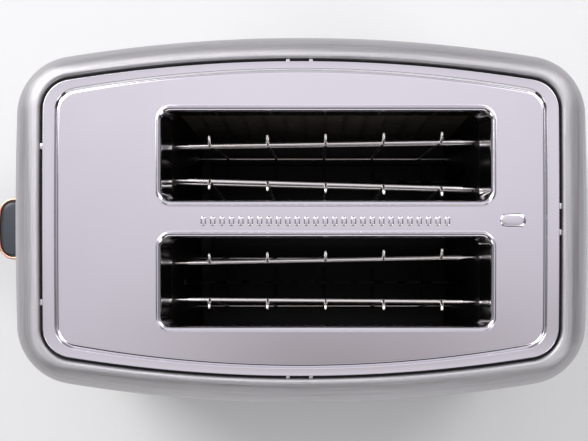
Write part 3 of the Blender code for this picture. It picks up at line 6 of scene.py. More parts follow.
import bmesh
import bpy
import numpy as np
from bpy.props import FloatProperty, FloatVectorProperty, IntProperty, PointerProperty
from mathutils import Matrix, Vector


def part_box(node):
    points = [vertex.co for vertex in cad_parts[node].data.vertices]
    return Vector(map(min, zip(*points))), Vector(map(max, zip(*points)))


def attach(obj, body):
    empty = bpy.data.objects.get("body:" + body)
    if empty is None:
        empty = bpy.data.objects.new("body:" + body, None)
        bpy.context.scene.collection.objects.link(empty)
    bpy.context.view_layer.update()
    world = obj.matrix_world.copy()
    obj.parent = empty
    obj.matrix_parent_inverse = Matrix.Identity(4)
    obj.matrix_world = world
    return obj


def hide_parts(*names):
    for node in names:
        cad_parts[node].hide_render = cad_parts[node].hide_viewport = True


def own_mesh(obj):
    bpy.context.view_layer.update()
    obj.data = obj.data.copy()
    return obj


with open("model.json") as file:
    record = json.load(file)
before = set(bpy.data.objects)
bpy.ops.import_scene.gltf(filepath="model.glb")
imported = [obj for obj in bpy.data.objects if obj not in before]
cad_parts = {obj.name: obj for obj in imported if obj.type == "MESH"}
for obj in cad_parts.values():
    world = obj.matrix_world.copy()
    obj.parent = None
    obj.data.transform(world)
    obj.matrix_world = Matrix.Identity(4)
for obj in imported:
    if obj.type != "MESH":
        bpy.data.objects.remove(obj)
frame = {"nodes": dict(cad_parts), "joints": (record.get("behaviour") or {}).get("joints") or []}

bl_info = {
    "name": "Two-slot toaster",
    "version": (1, 0, 0),
    "blender": (4, 5, 0),
    "location": "View3D > Sidebar > Toaster",
    "description": "Builds the visible pieces of a two-slot toaster round its packed model",
    "category": "Object",
}

MM = 0.001
SHARP_ANGLE = math.radians(32)
OVERRUN = 4 * MM
CLEARANCE = 0.3 * MM
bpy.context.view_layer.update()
TRIM_LOW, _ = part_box("knob_trim")
SLEEVE_LOW, SLEEVE_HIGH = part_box("outer_sleeve")
# The body's own middle plane, which the lever knob and the tray's grip leave off the row's origin
MIDDLE_X = (SLEEVE_LOW.x + SLEEVE_HIGH.x) / 2


def length(name, description, default):
    return FloatProperty(name=name, description=description, default=default, unit="LENGTH", precision=5)


def colour(name, description, default):
    return FloatVectorProperty(name=name, description=description, default=default, subtype="COLOR",
                               size=3, min=0.0, max=1.0)


def count(name, description, default):
    return IntProperty(name=name, description=description, default=default, min=1)


class ToasterSleeve(bpy.types.PropertyGroup):
    side_bow: length("Side bow", "How far each long side bulges at its middle", 14.0 * MM)
    end_bow: length("End bow", "How far each end bulges at its middle", 2.2 * MM)
    corner: length("Corner", "Radius of the wall's upright corners", 30.0 * MM)
    sheet: length("Sheet", "Thickness of the steel", 0.8 * MM)
    shoulder: length("Shoulder", "Height of the rounded shoulder", 22.0 * MM)
    rim_inset_end: length("Rim inset, ends", "How far the rim stands in from the end walls", 14.0 * MM)
    rim_inset_side: length("Rim inset, sides", "How far the rim stands in from the side walls", 11.7 * MM)
    rim_side_bow: length("Rim side bow", "Bulge of the rim's long sides", 11.0 * MM)
    rim_end_bow: length("Rim end bow", "Bulge of the rim's ends", 0.6 * MM)
    rim_corner: length("Rim corner", "Radius of the rim's corners", 17.5 * MM)
    lip_radius: length("Lip radius", "Radius of the rolled-in lip", 1.6 * MM)
    lip_depth: length("Lip depth", "How far the lip reaches down", 5.8 * MM)
    taper: length("Taper", "How far the wall draws in at its lower edge", 1.2 * MM)
    mid_taper: length("Middle taper", "How far the wall draws in at half height", 0.3 * MM)


class ToasterPlate(bpy.types.PropertyGroup):
    gap: length("Gap", "Dark gap between the lip and the plate", 1.3 * MM)
    drop: length("Drop", "How far the ledge lies under the rim", 0.6 * MM)
    sheet: length("Sheet", "Thickness of the steel", 0.8 * MM)
    edge_radius: length("Edge radius", "Rounding of the plate's outer edge", 0.35 * MM)
    ledge: length("Ledge", "Width of the outer ledge at the ends", 5.6 * MM)
    ledge_side: length("Side ledge", "Width of the outer ledge along the sides", 3.4 * MM)
    ledge_fall: length("Ledge fall", "How far the ledge falls towards the panel", 0.12 * MM)
    step: length("Step", "Width of the step from the ledge to the panel", 1.15 * MM)
    groove: length("Groove", "Width of the groove at the foot of the step", 0.9 * MM)
    groove_depth: length("Groove depth", "How far the groove lies under the panel", 0.22 * MM)
    panel_drop: length("Panel drop", "Depth of the sunk panel", 1.0 * MM)
    flange: length("Flange", "Depth of the edge flange", 5.0 * MM)
    bar_height: length("Raised bar height", "How far the raised bars stand off the bridge", 0.5 * MM)
    bar_count: count("Raised bars", "Bars in the row along the bridge", 27)


class ToasterSlots(bpy.types.PropertyGroup):
    length: length("Length", "Mouth of a slot along the body", 161.0 * MM)
    width: length("Width", "Mouth of a slot across the body", 46.6 * MM)
    pitch: length("Pitch", "Distance between the two slots", 60.2 * MM)
    offset: length("Offset", "How far the slots stand towards the rear", 12.0 * MM)
    corner: length("Corner", "Radius of a slot's corners", 6.5 * MM)
    roll: length("Roll", "Radius of the rolled edge", 2.0 * MM)
    bead_width: length("Bead width", "Width of the raised bead round a slot", 0.6 * MM)
    bead_height: length("Bead height", "Height of the raised bead round a slot", 0.45 * MM)
    depth: length("Depth", "Depth of the collar under the roll", 14.0 * MM)
    draft: length("Draft", "How far the collar's ends lean in", 3.0 * MM)


class ToasterGuides(bpy.types.PropertyGroup):
    pivot_height: length("Pivot height", "Height of the pivot wires", 35.0 * MM)
    pivot_offset: length("Pivot offset", "Distance of a pivot from its slot's middle", 14.5 * MM)
    rail_height: length("Rail height", "Height of the top rails", 163.0 * MM)
    rail_length: length("Rail length", "Length of the thick top rail", 137.0 * MM)
    rail_radius: length("Rail radius", "Radius of the thick rail", 1.1 * MM)
    lower_drop: length("Lower rail drop", "How far the lower rail lies under the top one", 14.0 * MM)
    thin_radius: length("Thin radius", "Radius of the thin rails", 0.7 * MM)
    wire_radius: length("Wire radius", "Radius of the upright wires", 0.8 * MM)
    wire_pitch: length("Wire pitch", "Distance between upright wires", 28.8 * MM)
    tip_out: length("Tip reach", "How far a wire's tip turns outwards", 4.4 * MM)
    tip_rise: length("Tip rise", "How far a tip rises over the rail", 4.6 * MM)
    wires: count("Wires", "Upright wires on each guide", 5)


class ToasterLever(bpy.types.PropertyGroup):
    height: length("Height", "Height of the lever at its low stop", 80.0 * MM)
    bar: length("Bar", "Thickness of the lever arm", 5.0 * MM)
    knob_depth: length("Knob depth", "Size of the knob along the body", 22.4 * MM)
    knob_width: length("Knob width", "Size of the knob across the body", 34.8 * MM)
    knob_height: length("Knob height", "Height of the knob", 14.0 * MM)
    corner: length("Corner", "Radius of the knob's corners", 9.0 * MM)
    bow: length("Bow", "Bulge of the knob's front", 1.6 * MM)
    edge: length("Edge", "Rounding of the knob's edges", 2.2 * MM)
    trim: length("Trim", "Thickness of the metal trim", 1.6 * MM)
    trim_setback: length("Trim setback", "How far the trim stands in from top and bottom", 0.7 * MM)


class ToasterPanel(bpy.types.PropertyGroup):
    half_width: length("Half width", "Half the panel's width", 37.0 * MM)
    bottom: length("Bottom", "Height of the panel's lower edge", 29.0 * MM)
    top: length("Top", "Height of the panel's upper edge", 161.0 * MM)
    corner: length("Corner", "Radius of the panel's corners", 8.0 * MM)
    recess: length("Recess", "How far the face lies under the wall", 0.7 * MM)
    flange: length("Flange", "Width of the flange behind the wall", 4.0 * MM)
    face_depth: length("Face depth", "From the face to the flange", 1.9 * MM)
    flange_depth: length("Flange depth", "Thickness of the flange", 2.0 * MM)
    slit_margin: length("Slit margin", "Room round the lever arm in its slit", 1.2 * MM)
    dial_radius: length("Dial radius", "Radius of the browning dial", 13.5 * MM)
    dial_ring: length("Dial ring", "Width of the ring round the dial", 2.6 * MM)
    button_half_width: length("Button half width", "Half a button's width", 4.0 * MM)
    button_half_height: length("Button half height", "Half a button's height", 6.0 * MM)
    button_proud: length("Button proud", "How far a button stands out", 2.6 * MM)


class ToasterBase(bpy.types.PropertyGroup):
    wall: length("Wall", "Thickness of the base's wall", 2.5 * MM)
    floor: length("Floor", "Thickness of the base's floor", 3.0 * MM)
    chamfer: length("Edge", "Rounding of the base's lower edge", 2.5 * MM)
    tray_opening: length("Tray opening", "Height of the opening for the crumb tray", 12.6 * MM)
    foot_radius: length("Foot radius", "Radius of a rubber foot", 8.5 * MM)
    grip_half_width: length("Grip half width", "Half the width of the tray's grip", 30.0 * MM)
    grip_thickness: length("Grip thickness", "Thickness of the tray's grip", 3.0 * MM)
    grip_corner: length("Grip corner", "Radius of the grip's corners", 5.0 * MM)


class ToasterColours(bpy.types.PropertyGroup):
    sleeve: colour("Sleeve", "Brushed steel of the body", (0.50, 0.49, 0.505))
    plate: colour("Plate", "Polished steel of the top", (0.80, 0.78, 0.83))
    sheet: colour("Sheet steel", "Plated steel of the works", (0.46, 0.46, 0.47))
    # The chamber steel is partly heat-darkened and partly painted shade: its colour is set near black, darker
    # than steel can be, so that the end plates, reflectors, racks and crumb tray read as dark as the shade
    # inside the slots.
    chamber: colour("Chamber", "Heat-darkened steel inside", (0.018, 0.017, 0.018))
    wire: colour("Wire", "Bright wire of the guides", (0.88, 0.86, 0.83))
    copper: colour("Copper", "Trim of the lever and the dial", (0.83, 0.47, 0.34))
    black: colour("Black", "Moulded black plastic", (0.016, 0.016, 0.018))
    slate: colour("Slate", "Dark blue-grey plastic", (0.040, 0.048, 0.062))
    rubber: colour("Rubber", "Rubber of the feet", (0.022, 0.022, 0.022))
    mica: colour("Mica", "Heater boards", (0.13, 0.115, 0.09))
    alloy: colour("Alloy", "Heater strips", (0.16, 0.14, 0.12))
    circuit: colour("Circuit board", "Green laminate", (0.03, 0.16, 0.07))
    winding: colour("Winding", "Enamelled wire of the magnet", (0.45, 0.16, 0.05))
    live: colour("Live lead", "Brown sleeving", (0.17, 0.07, 0.03))
    neutral: colour("Neutral lead", "Blue sleeving", (0.03, 0.08, 0.30))
    floor: colour("Floor", "Plain pale floor", (0.80, 0.80, 0.80))


SETTINGS = {
    "toaster_sleeve": ToasterSleeve,
    "toaster_plate": ToasterPlate,
    "toaster_slots": ToasterSlots,
    "toaster_guides": ToasterGuides,
    "toaster_lever": ToasterLever,
    "toaster_panel": ToasterPanel,
    "toaster_base": ToasterBase,
    "toaster_colours": ToasterColours,
}


def settings(name):
    return getattr(bpy.context.scene, f"toaster_{name}")


# Shader maths

class Value:
    """A socket's value: each operator adds the Math node that works it out."""

    def __init__(self, nodes, socket):
        self.nodes = nodes
        self.socket = socket

    def __add__(self, other):
        return self.nodes.math("ADD", self, other)

    __radd__ = __add__

    def __sub__(self, other):
        return self.nodes.math("SUBTRACT", self, other)

    def __rsub__(self, other):
        return self.nodes.math("SUBTRACT", other, self)

    def __mul__(self, other):
        return self.nodes.math("MULTIPLY", self, other)

    __rmul__ = __mul__

    def __truediv__(self, other):
        return self.nodes.math("DIVIDE", self, other)

    def __pow__(self, other):
        return self.nodes.math("POWER", self, other)


class Nodes:
    """A node tree, with short ways to add to it."""

    def __init__(self, tree):
        self.tree = tree

    def feed(self, socket, value):
        if isinstance(value, Value):
            self.tree.links.new(value.socket, socket)
        else:
            socket.default_value = value

    def node(self, kind, settings=(), sockets=(), output=0):
        """Add any node: its settings first, then the values or links of its sockets."""
        made = self.tree.nodes.new("ShaderNode" + kind)
        for key, value in dict(settings).items():
            if key == "stops":
                while len(made.color_ramp.elements) < len(value):
                    made.color_ramp.elements.new(1.0)
                for element, (place, shade) in zip(made.color_ramp.elements, value):
                    element.position = place
                    element.color = (shade, shade, shade, 1.0)
            else:
                setattr(made, key, value)
        for key, value in dict(sockets).items():
            self.feed(made.inputs[key], value)
        return Value(self, made.outputs[output])

    def math(self, operation, *values):
        return self.node("Math", {"operation": operation}, enumerate(values))

    def place(self):
        return self.node("TexCoord", output="Object")

    def parts(self, vector):
        made = self.node("SeparateXYZ", sockets={0: vector}).socket.node
        return [Value(self, socket) for socket in made.outputs]

    def join(self, x, y, z):
        return self.node("CombineXYZ", sockets={0: x, 1: y, 2: z})

    def stretch(self, vector, scales):
        return self.node("Mapping", {"vector_type": "POINT"}, {"Vector": vector, "Scale": scales})

    def noise(self, vector, scale=1.0, detail=3.0, rough=0.5):
        return self.node("TexNoise", {"noise_dimensions": "3D"},
                         {"Vector": vector, "Scale": scale, "Detail": detail, "Roughness": rough})

    def ramp(self, value, *stops):
        return self.node("ValToRGB", {"stops": stops}, {"Fac": value})

    def mix(self, factor, first, second):
        return self.node("Mix", {"data_type": "RGBA", "clamp_factor": True},
                         {"Factor": factor, 6: first, 7: second}, output=2)


class Finish(Nodes):
    """A material in the making, with its Principled shader."""

    def __init__(self, name, colour, roughness, metallic=0.0, constants=()):
        self.material = bpy.data.materials.new(name)
        self.material.use_nodes = True
        super().__init__(self.material.node_tree)
        self.shader = self.tree.nodes["Principled BSDF"]
        self.colour = tuple(colour)
        self.put("Base Color", (*self.colour, 1.0))
        self.put("Roughness", roughness)
        self.put("Metallic", metallic)
        for socket, value in dict(constants).items():
            self.put(socket, value)

    def put(self, socket, value):
        self.feed(self.shader.inputs[socket], value)

    def tint(self, factor, darker, lighter):
        """Mix two shades of the finish's own colour, each a multiple of it."""
        low = tuple(min(part * darker, 1.0) for part in self.colour)
        high = tuple(min(part * lighter, 1.0) for part in self.colour)
        return self.mix(factor, (*low, 1.0), (*high, 1.0))

    def bump(self, height, distance, strength=1.0):
        self.put("Normal", self.node("Bump", {}, {"Height": height, "Distance": distance,
                                                  "Strength": strength}))


def sleeve_finish(perimeter):
    """Brushed steel: streaks run round the body, so they are long in u and fine in v.

    The u of the map runs once round the body. Its cosine and sine place the streaks on a loop,
    so that they meet behind.
    """
    finish = Finish("brushed sleeve steel", settings("colours").sleeve, 0.3, 1.0)
    u, v, _ = finish.parts(finish.node("UVMap"))
    angle = u * (math.tau / perimeter)
    east = finish.math("COSINE", angle)
    north = finish.math("SINE", angle)
    fine = finish.noise(finish.join(east * 4.5, north * 4.5, v * 4200), detail=3.0, rough=0.6)
    broad = finish.noise(finish.join(east * 1.6, north * 1.6, v * 620), detail=2.0)
    streak = finish.ramp(fine * 0.62 + broad * 0.38, (0.28, 0.0), (0.72, 1.0))
    clouds = finish.noise(finish.place(), scale=9.0, detail=2.0)
    finish.put("Base Color", finish.tint(streak, 0.72, 1.24))
    finish.put("Roughness", 0.38 + streak * 0.10 + clouds * 0.05)
    finish.bump(fine, 0.12 * MM, 1.0)
    return finish.material


def plate_finish():
    """Polished steel: a soft mirror with faint hairlines along the body and handling clouds."""
    finish = Finish("polished plate steel", settings("colours").plate, 0.1, 1.0)
    place = finish.place()
    hair = finish.noise(finish.stretch(place, (40.0, 2600.0, 2600.0)), detail=2.0, rough=0.6)
    clouds = finish.noise(place, scale=14.0, detail=3.0, rough=0.55)
    finish.put("Base Color", finish.tint(clouds, 0.95, 1.03))
    finish.put("Roughness", 0.07 + clouds * 0.06 + hair * 0.03)
    finish.bump(hair, 0.01 * MM, 0.25)
    return finish.material


def sheet_finish(name, colour, roughness):
    """Rolled and plated sheet: grain along the body, spangle clouds and scuffs."""
    finish = Finish(name, colour, roughness, 1.0)
    place = finish.place()
    grain = finish.noise(finish.stretch(place, (60.0, 1500.0, 1500.0)), detail=2.0)
    spangle = finish.noise(place, scale=70.0, detail=4.0, rough=0.65)
    finish.put("Base Color", finish.tint(grain * 0.4 + spangle * 0.6, 0.72, 1.25))
    finish.put("Roughness", roughness - 0.1 + grain * 0.08 + spangle * 0.14)
    finish.bump(grain, 0.02 * MM, 0.4)
    return finish.material


def wire_finish():
    """Bright drawn wire with slight heat tint in patches."""
    finish = Finish("bright guide wire", settings("colours").wire, 0.2, 1.0)
    place = finish.place()
    drawn = finish.noise(finish.stretch(place, (90.0, 2400.0, 700.0)), detail=2.0)
    tint = finish.ramp(finish.noise(place, scale=26.0, detail=2.0), (0.5, 0.0), (0.78, 1.0))
    warm = (0.74, 0.64, 0.50, 1.0)
    finish.put("Base Color", finish.mix(tint * 0.5, finish.tint(drawn, 0.9, 1.1), warm))
    finish.put("Roughness", 0.16 + drawn * 0.1 + tint * 0.08)
    return finish.material


def copper_finish():
    """Satin copper-coloured trim, brushed along the body, a little darker in its clouds."""
    finish = Finish("copper trim", settings("colours").copper, 0.22, 1.0)
    place = finish.place()
    brush = finish.noise(finish.stretch(place, (500.0, 500.0, 3800.0)), detail=2.0)
    clouds = finish.noise(place, scale=60.0, detail=3.0)
    finish.put("Base Color", finish.tint(brush * 0.5 + clouds * 0.5, 0.82, 1.12))
    finish.put("Roughness", 0.14 + brush * 0.12 + clouds * 0.06)
    finish.bump(brush, 0.01 * MM, 0.3)
    return finish.material


def plastic_finish(name, colour, roughness, grain):
    """Moulded plastic: fine spark-eroded grain, its share of bump given by grain."""
    finish = Finish(name, colour, roughness, 0.0, {"Specular IOR Level": 0.45})
    place = finish.place()
    pits = finish.noise(place, scale=2600.0, detail=2.0, rough=0.7)
    clouds = finish.noise(place, scale=22.0, detail=3.0)
    finish.put("Base Color", finish.tint(clouds * 0.7 + pits * 0.3, 0.8, 1.3))
    finish.put("Roughness", roughness - 0.07 + clouds * 0.09 + pits * 0.05)
    finish.bump(pits, 0.06 * MM, grain)
    return finish.material


def rubber_finish():
    """Dull rubber with dust in its clouds."""
    finish = Finish("foot rubber", settings("colours").rubber, 0.85)
    place = finish.place()
    grain = finish.noise(place, scale=1400.0, detail=3.0)
    dust = finish.noise(place, scale=90.0, detail=3.0)
    finish.put("Base Color", finish.tint(grain * 0.4 + dust * 0.6, 0.6, 2.2))
    finish.put("Roughness", 0.74 + dust * 0.2)
    finish.bump(grain, 0.08 * MM, 0.5)
    return finish.material


def mica_finish():
    """Pressed mica: flakes of unlike brown with a faint gloss."""
    finish = Finish("mica board", settings("colours").mica, 0.5)
    place = finish.place()
    flakes = finish.node("TexVoronoi", {"feature": "F1"}, {"Vector": place, "Scale": 240.0}, "Color")
    flake, _, _ = finish.parts(flakes)
    clouds = finish.noise(place, scale=30.0, detail=3.0)
    finish.put("Base Color", finish.tint(flake * 0.6 + clouds * 0.4, 0.6, 1.5))
    finish.put("Roughness", 0.32 + flake * 0.24)
    finish.bump(flake, 0.03 * MM, 0.6)
    return finish.material


def alloy_finish():
    """Resistance strip, oxidised in patches by heat."""
    finish = Finish("heater alloy", settings("colours").alloy, 0.5, 0.8)
    place = finish.place()
    oxide = finish.ramp(finish.noise(place, scale=120.0, detail=4.0), (0.35, 0.0), (0.65, 1.0))
    finish.put("Base Color", finish.tint(oxide, 0.6, 1.5))
    finish.put("Roughness", 0.38 + oxide * 0.25)
    return finish.material


def circuit_finish():
    """Green laminate with weave under the varnish and bright traces in a grid of bands."""
    finish = Finish("circuit laminate", settings("colours").circuit, 0.4)
    place = finish.place()
    _, y, z = finish.parts(place)
    weave = finish.math("SINE", y * 5200) * finish.math("SINE", z * 5200)
    bands = finish.math("SINE", y * 1600) * finish.math("SINE", z * 900)
    traces = finish.ramp(bands, (0.45, 0.0), (0.55, 1.0))
    finish.put("Base Color", finish.tint(traces * 0.7 + weave * 0.1, 0.8, 1.9))
    finish.put("Roughness", 0.32 + traces * 0.1)
    finish.bump(traces, 0.05 * MM, 0.5)
    return finish.material


def winding_finish():
    """Enamelled wire wound level by level: bands along the height."""
    finish = Finish("magnet winding", settings("colours").winding, 0.35, 0.6)
    _, _, z = finish.parts(finish.place())
    turns = finish.math("SINE", z * (math.tau / (0.5 * MM)))
    finish.put("Base Color", finish.tint(turns * 0.5 + 0.5, 0.55, 1.2))
    finish.bump(turns, 0.12 * MM, 0.8)
    return finish.material


def floor_finish():
    """Plain pale floor with the faintest unevenness."""
    finish = Finish("pale floor", settings("colours").floor, 0.7)
    clouds = finish.noise(finish.place(), scale=3.0, detail=2.0)
    finish.put("Base Color", finish.tint(clouds, 0.985, 1.0))
    return finish.material


def finish_named(name):
    """The material of a name, made once."""
    made = FINISHES.get(name)
    if made is None:
        shades = settings("colours")
        makers = {
            "plate": plate_finish,
            "wire": wire_finish,
            "copper": copper_finish,
            "rubber": rubber_finish,
            "mica": mica_finish,
            "alloy": alloy_finish,
            "circuit": circuit_finish,
            "winding": winding_finish,
            "floor": floor_finish,
            "works": lambda: sheet_finish("plated works steel", shades.sheet, 0.38),
            # Chamber steel: heat tint with painted shade, its near-black colour standing in for the shade
            # inside the slots.
            "chamber": lambda: sheet_finish("chamber steel", shades.chamber, 0.42),
            "black": lambda: plastic_finish("black moulding", shades.black, 0.48, 0.35),
            "slate": lambda: plastic_finish("slate moulding", shades.slate, 0.30, 0.12),
            "live": lambda: plastic_finish("brown sleeving", shades.live, 0.45, 0.1),
            "neutral": lambda: plastic_finish("blue sleeving", shades.neutral, 0.45, 0.1),
        }
        made = makers[name]()
        FINISHES[name] = made
    return made


FINISHES = {}


# Shapes: each is (points, faces), and a grid of points is rings by points round

def skin(rings, closed=False, caps=True):
    """Quads over a grid of rings, closed into a hoop, capped at both ends, or left open."""
    grid = np.asarray(rings, float)
    rows, around = grid.shape[:2]
    row = np.arange(rows if closed else rows - 1)[:, None]
    column = np.arange(around)[None, :]
    after = (column + 1) % around
    above = (row + 1) % rows
    corners = (row * around + column, row * around + after, above * around + after, above * around + column)
    faces = np.stack(corners, axis=-1).reshape(-1, 4).tolist()
    if caps and not closed:
        faces.append(list(range(around)))
        faces.append(list(range((rows - 1) * around, rows * around)))
    return grid.reshape(-1, 3), faces


def merged(shapes):
    """Several shapes as one, their faces numbered on."""
    points = []
    faces = []
    start = 0
    for part_points, part_faces in shapes:
        points.append(part_points)
        faces.extend([corner + start for corner in face] for face in part_faces)
        start += len(part_points)
    return np.vstack(points), faces


def bowed_outline(half_length, half_width, side_bow, end_bow, corner, steps=(8, 20, 22)):
    """Closed outline whose sides and ends are shallow arcs joined by tangent corner arcs.

    A bow b over a half chord h belongs to a circle of radius (h^2 + b^2) / 2b. The corner's
    centre lies at a corner radius inside both circles. One quarter is worked out and mirrored.
    """
    side_radius = (half_length ** 2 + side_bow ** 2) / (2 * side_bow)
    end_radius = (half_width ** 2 + end_bow ** 2) / (2 * end_bow)
    side_centre = np.array([0.0, half_width - side_radius])
    end_centre = np.array([half_length - end_radius, 0.0])
    span = end_centre - side_centre
    distance = np.hypot(*span)
    reach = side_radius - corner
    along = (reach ** 2 - (end_radius - corner) ** 2 + distance ** 2) / (2 * distance)
    across = math.sqrt(reach ** 2 - along ** 2)
    unit = span / distance
    corner_centre = side_centre + along * unit + across * np.array([unit[1], -unit[0]])
    end_angle = math.atan2(*(corner_centre - end_centre)[::-1])
    side_angle = math.atan2(*(corner_centre - side_centre)[::-1])
    arcs = (
        (end_centre, end_radius, 0, end_angle, steps[0]),
        (corner_centre, corner, end_angle, side_angle, steps[1]),
        (side_centre, side_radius, side_angle, math.pi / 2, steps[2]),
    )
    quarter = [np.array([[half_length, 0.0]])]
    for centre, radius, first, last, number in arcs:
        angle = np.linspace(first, last, number + 1)[1:]
        quarter.append(centre + radius * np.column_stack([np.cos(angle), np.sin(angle)]))
    quarter = np.vstack(quarter)
    return np.vstack([quarter, quarter[::-1][1:] * (-1, 1), quarter[1:] * (-1, -1),
                      quarter[::-1][1:-1] * (1, -1)])


def rounded_box(half_x, half_y, corner, steps=8):
    """Closed outline of a rectangle with quarter circles at its corners."""
    angle = np.linspace(0, math.pi / 2, steps + 1)
    arc = corner * np.column_stack([np.cos(angle), np.sin(angle)])
    quarter = arc + (half_x - corner, half_y - corner)
    second = quarter[::-1] * (-1, 1)
    return np.vstack([quarter, second, quarter * (-1, -1), second * (-1, -1)])


def level(outline, height, place=(0.0, 0.0)):
    """A flat outline laid at a height."""
    flat = outline + place
    return np.column_stack([flat, np.full(len(flat), height)])


def upright(outline, x, place=(0.0, 0.0)):
    """A flat outline of (y, z) stood up at a place along X."""
    flat = outline + place
    return np.column_stack([np.full(len(flat), x), flat])


def rounded_path(corners, radii, closed=False, steps=6):
    """A polyline with an arc at each corner, tangent to both runs.

    The arc turns about the point on the bisector at radius / sin(half the angle), and is
    interpolated by sines from its first to its last point.
    """
    path = np.asarray(corners, float)
    share = np.linspace(0, 1, steps + 1)[:, None]
    made = []
    for index, (corner, radius) in enumerate(zip(path, radii)):
        if radius == 0 or (not closed and index in (0, len(path) - 1)):
            made.append(corner[None])
            continue
        back = path[index - 1] - corner
        ahead = path[(index + 1) % len(path)] - corner
        back /= np.linalg.norm(back)
        ahead /= np.linalg.norm(ahead)
        half = math.acos(np.clip(back.dot(ahead), -1, 1)) / 2
        turn = math.pi - 2 * half
        bisector = back + ahead
        centre = corner + bisector / np.linalg.norm(bisector) * radius / math.sin(half)
        start = corner + back * radius / math.tan(half) - centre
        end = corner + ahead * radius / math.tan(half) - centre
        made.append(centre + (np.sin((1 - share) * turn) * start + np.sin(share * turn) * end)
                    / math.sin(turn))
    return np.vstack(made)


def turned(profile, place, sides=48, along="z"):
    """Each (height, radius) of a profile carried once round an axis through a place."""
    height, radius = np.asarray(profile, float).T
    angle = np.arange(sides) * math.tau / sides
    first = radius[:, None] * np.cos(angle)
    second = radius[:, None] * np.sin(angle)
    rise = np.repeat(height[:, None], sides, axis=1)
    order = (first, second, rise) if along == "z" else (rise, first, second)
    return np.stack(order, axis=-1) + np.asarray(place, float)


def tube(path, radius, side, sides=12, closed_ends=True):
    """A circle carried along a path, square to it, with one axis kept nearest to a side."""
    path = np.asarray(path, float)
    way = np.gradient(path, axis=0)
    way /= np.linalg.norm(way, axis=1)[:, None]
    first = np.asarray(side, float) - way * (way @ np.asarray(side, float))[:, None]
    first /= np.linalg.norm(first, axis=1)[:, None]
    second = np.cross(way, first)
    angle = np.arange(sides) * math.tau / sides
    rings = (path[:, None] + radius * (np.cos(angle)[None, :, None] * first[:, None]
                                       + np.sin(angle)[None, :, None] * second[:, None]))
    return skin(rings, caps=closed_ends)


def pad(low, high, corner, edge, axis="z", steps=5):
    """A block with rounded corners about one axis and rounded edges on both its faces."""
    low = np.asarray(low, float)
    high = np.asarray(high, float)
    order = {"z": (0, 1, 2), "x": (1, 2, 0), "y": (2, 0, 1)}[axis]
    a, b, c = order
    half_a, half_b = (high[a] - low[a]) / 2, (high[b] - low[b]) / 2
    angle = np.linspace(0, math.pi / 2, steps + 1)
    inset = np.concatenate([edge * (1 - np.sin(angle)), edge * (1 - np.cos(angle))])
    height = np.concatenate([low[c] + edge * (1 - np.cos(angle)), high[c] - edge * (1 - np.sin(angle))])
    rings = []
    for ring_inset, ring_height in zip(inset, height):
        outline = rounded_box(half_a - ring_inset, half_b - ring_inset, max(corner - ring_inset, edge / 4))
        ring = np.zeros((len(outline), 3))
        ring[:, a] = outline[:, 0] + (low[a] + high[a]) / 2
        ring[:, b] = outline[:, 1] + (low[b] + high[b]) / 2
        ring[:, c] = ring_height
        rings.append(ring)
    return skin(rings)


# Pieces: meshes, modifiers and what they ride on

def add_mesh(name, shape, finish, uv=None):
    """A mesh object at the origin from points and faces, its faces turned outwards."""
    points, faces = shape
    mesh = bpy.data.meshes.new(name)
    mesh.from_pydata(np.asarray(points, float).tolist(), [], faces)
    if uv is not None:
        layer = mesh.uv_layers.new(name="UVMap")
        layer.data.foreach_set("uv", uv.ravel())
    turn_out(mesh)
    piece = bpy.data.objects.new(name, mesh)
    bpy.context.scene.collection.objects.link(piece)
    mesh.materials.append(finish)
    smooth(mesh)
    return piece


def turn_out(mesh):
    shape = bmesh.new()
    shape.from_mesh(mesh)
    bmesh.ops.recalc_face_normals(shape, faces=shape.faces)
    shape.to_mesh(mesh)
    shape.free()


def smooth(mesh):
    mesh.shade_smooth()
    mesh.set_sharp_from_angle(angle=SHARP_ANGLE)


def settle(piece, body, slot, *nodes):
    """Say which body the piece rides on, its finish slot, and the CAD nodes that it stands for."""
    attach(piece, body)
    if nodes:
        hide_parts(*nodes)
    return piece


def apply_modifiers(piece):
    graph = bpy.context.evaluated_depsgraph_get()
    result = bpy.data.meshes.new_from_object(piece.evaluated_get(graph), depsgraph=graph)
    former = piece.data
    piece.modifiers.clear()
    piece.data = result
    result.name = piece.name
    bpy.data.meshes.remove(former)
    smooth(result)


def combine(piece, shape, operation="DIFFERENCE"):
    """Cut a closed shape out of a piece, or join it on."""
    tool = add_mesh("tool", shape, piece.data.materials[0])
    modifier = piece.modifiers.new("combine", "BOOLEAN")
    modifier.operation = operation
    modifier.solver = "EXACT"
    modifier.object = tool
    bpy.context.view_layer.update()
    apply_modifiers(piece)
    mesh = tool.data
    bpy.data.objects.remove(tool)
    bpy.data.meshes.remove(mesh)


def solidify(piece, thickness):
    """Give a sheet its thickness on the side away from its normals."""
    wall = piece.modifiers.new("sheet", "SOLIDIFY")
    wall.thickness = thickness
    wall.offset = -1
    wall.use_even_offset = True
    bpy.context.view_layer.update()
    apply_modifiers(piece)


def face_way(piece, way, place):
    """Turn an open sheet so that its face nearest to a place looks the given way."""
    centres = np.zeros(len(piece.data.polygons) * 3)
    normals = np.zeros(len(piece.data.polygons) * 3)
    piece.data.polygons.foreach_get("center", centres)
    piece.data.polygons.foreach_get("normal", normals)
    nearest = np.argmin(np.linalg.norm(centres.reshape(-1, 3) - place, axis=1))
    if normals.reshape(-1, 3)[nearest].dot(way) < 0:
        piece.data.flip_normals()


def redress(finish_name, *nodes):
    """Keep CAD nodes as they are and give them a finish."""
    for name in nodes:
        piece = frame["nodes"][name]
        piece.data.materials.clear()
        piece.data.materials.append(finish_named(finish_name))


# The sleeve

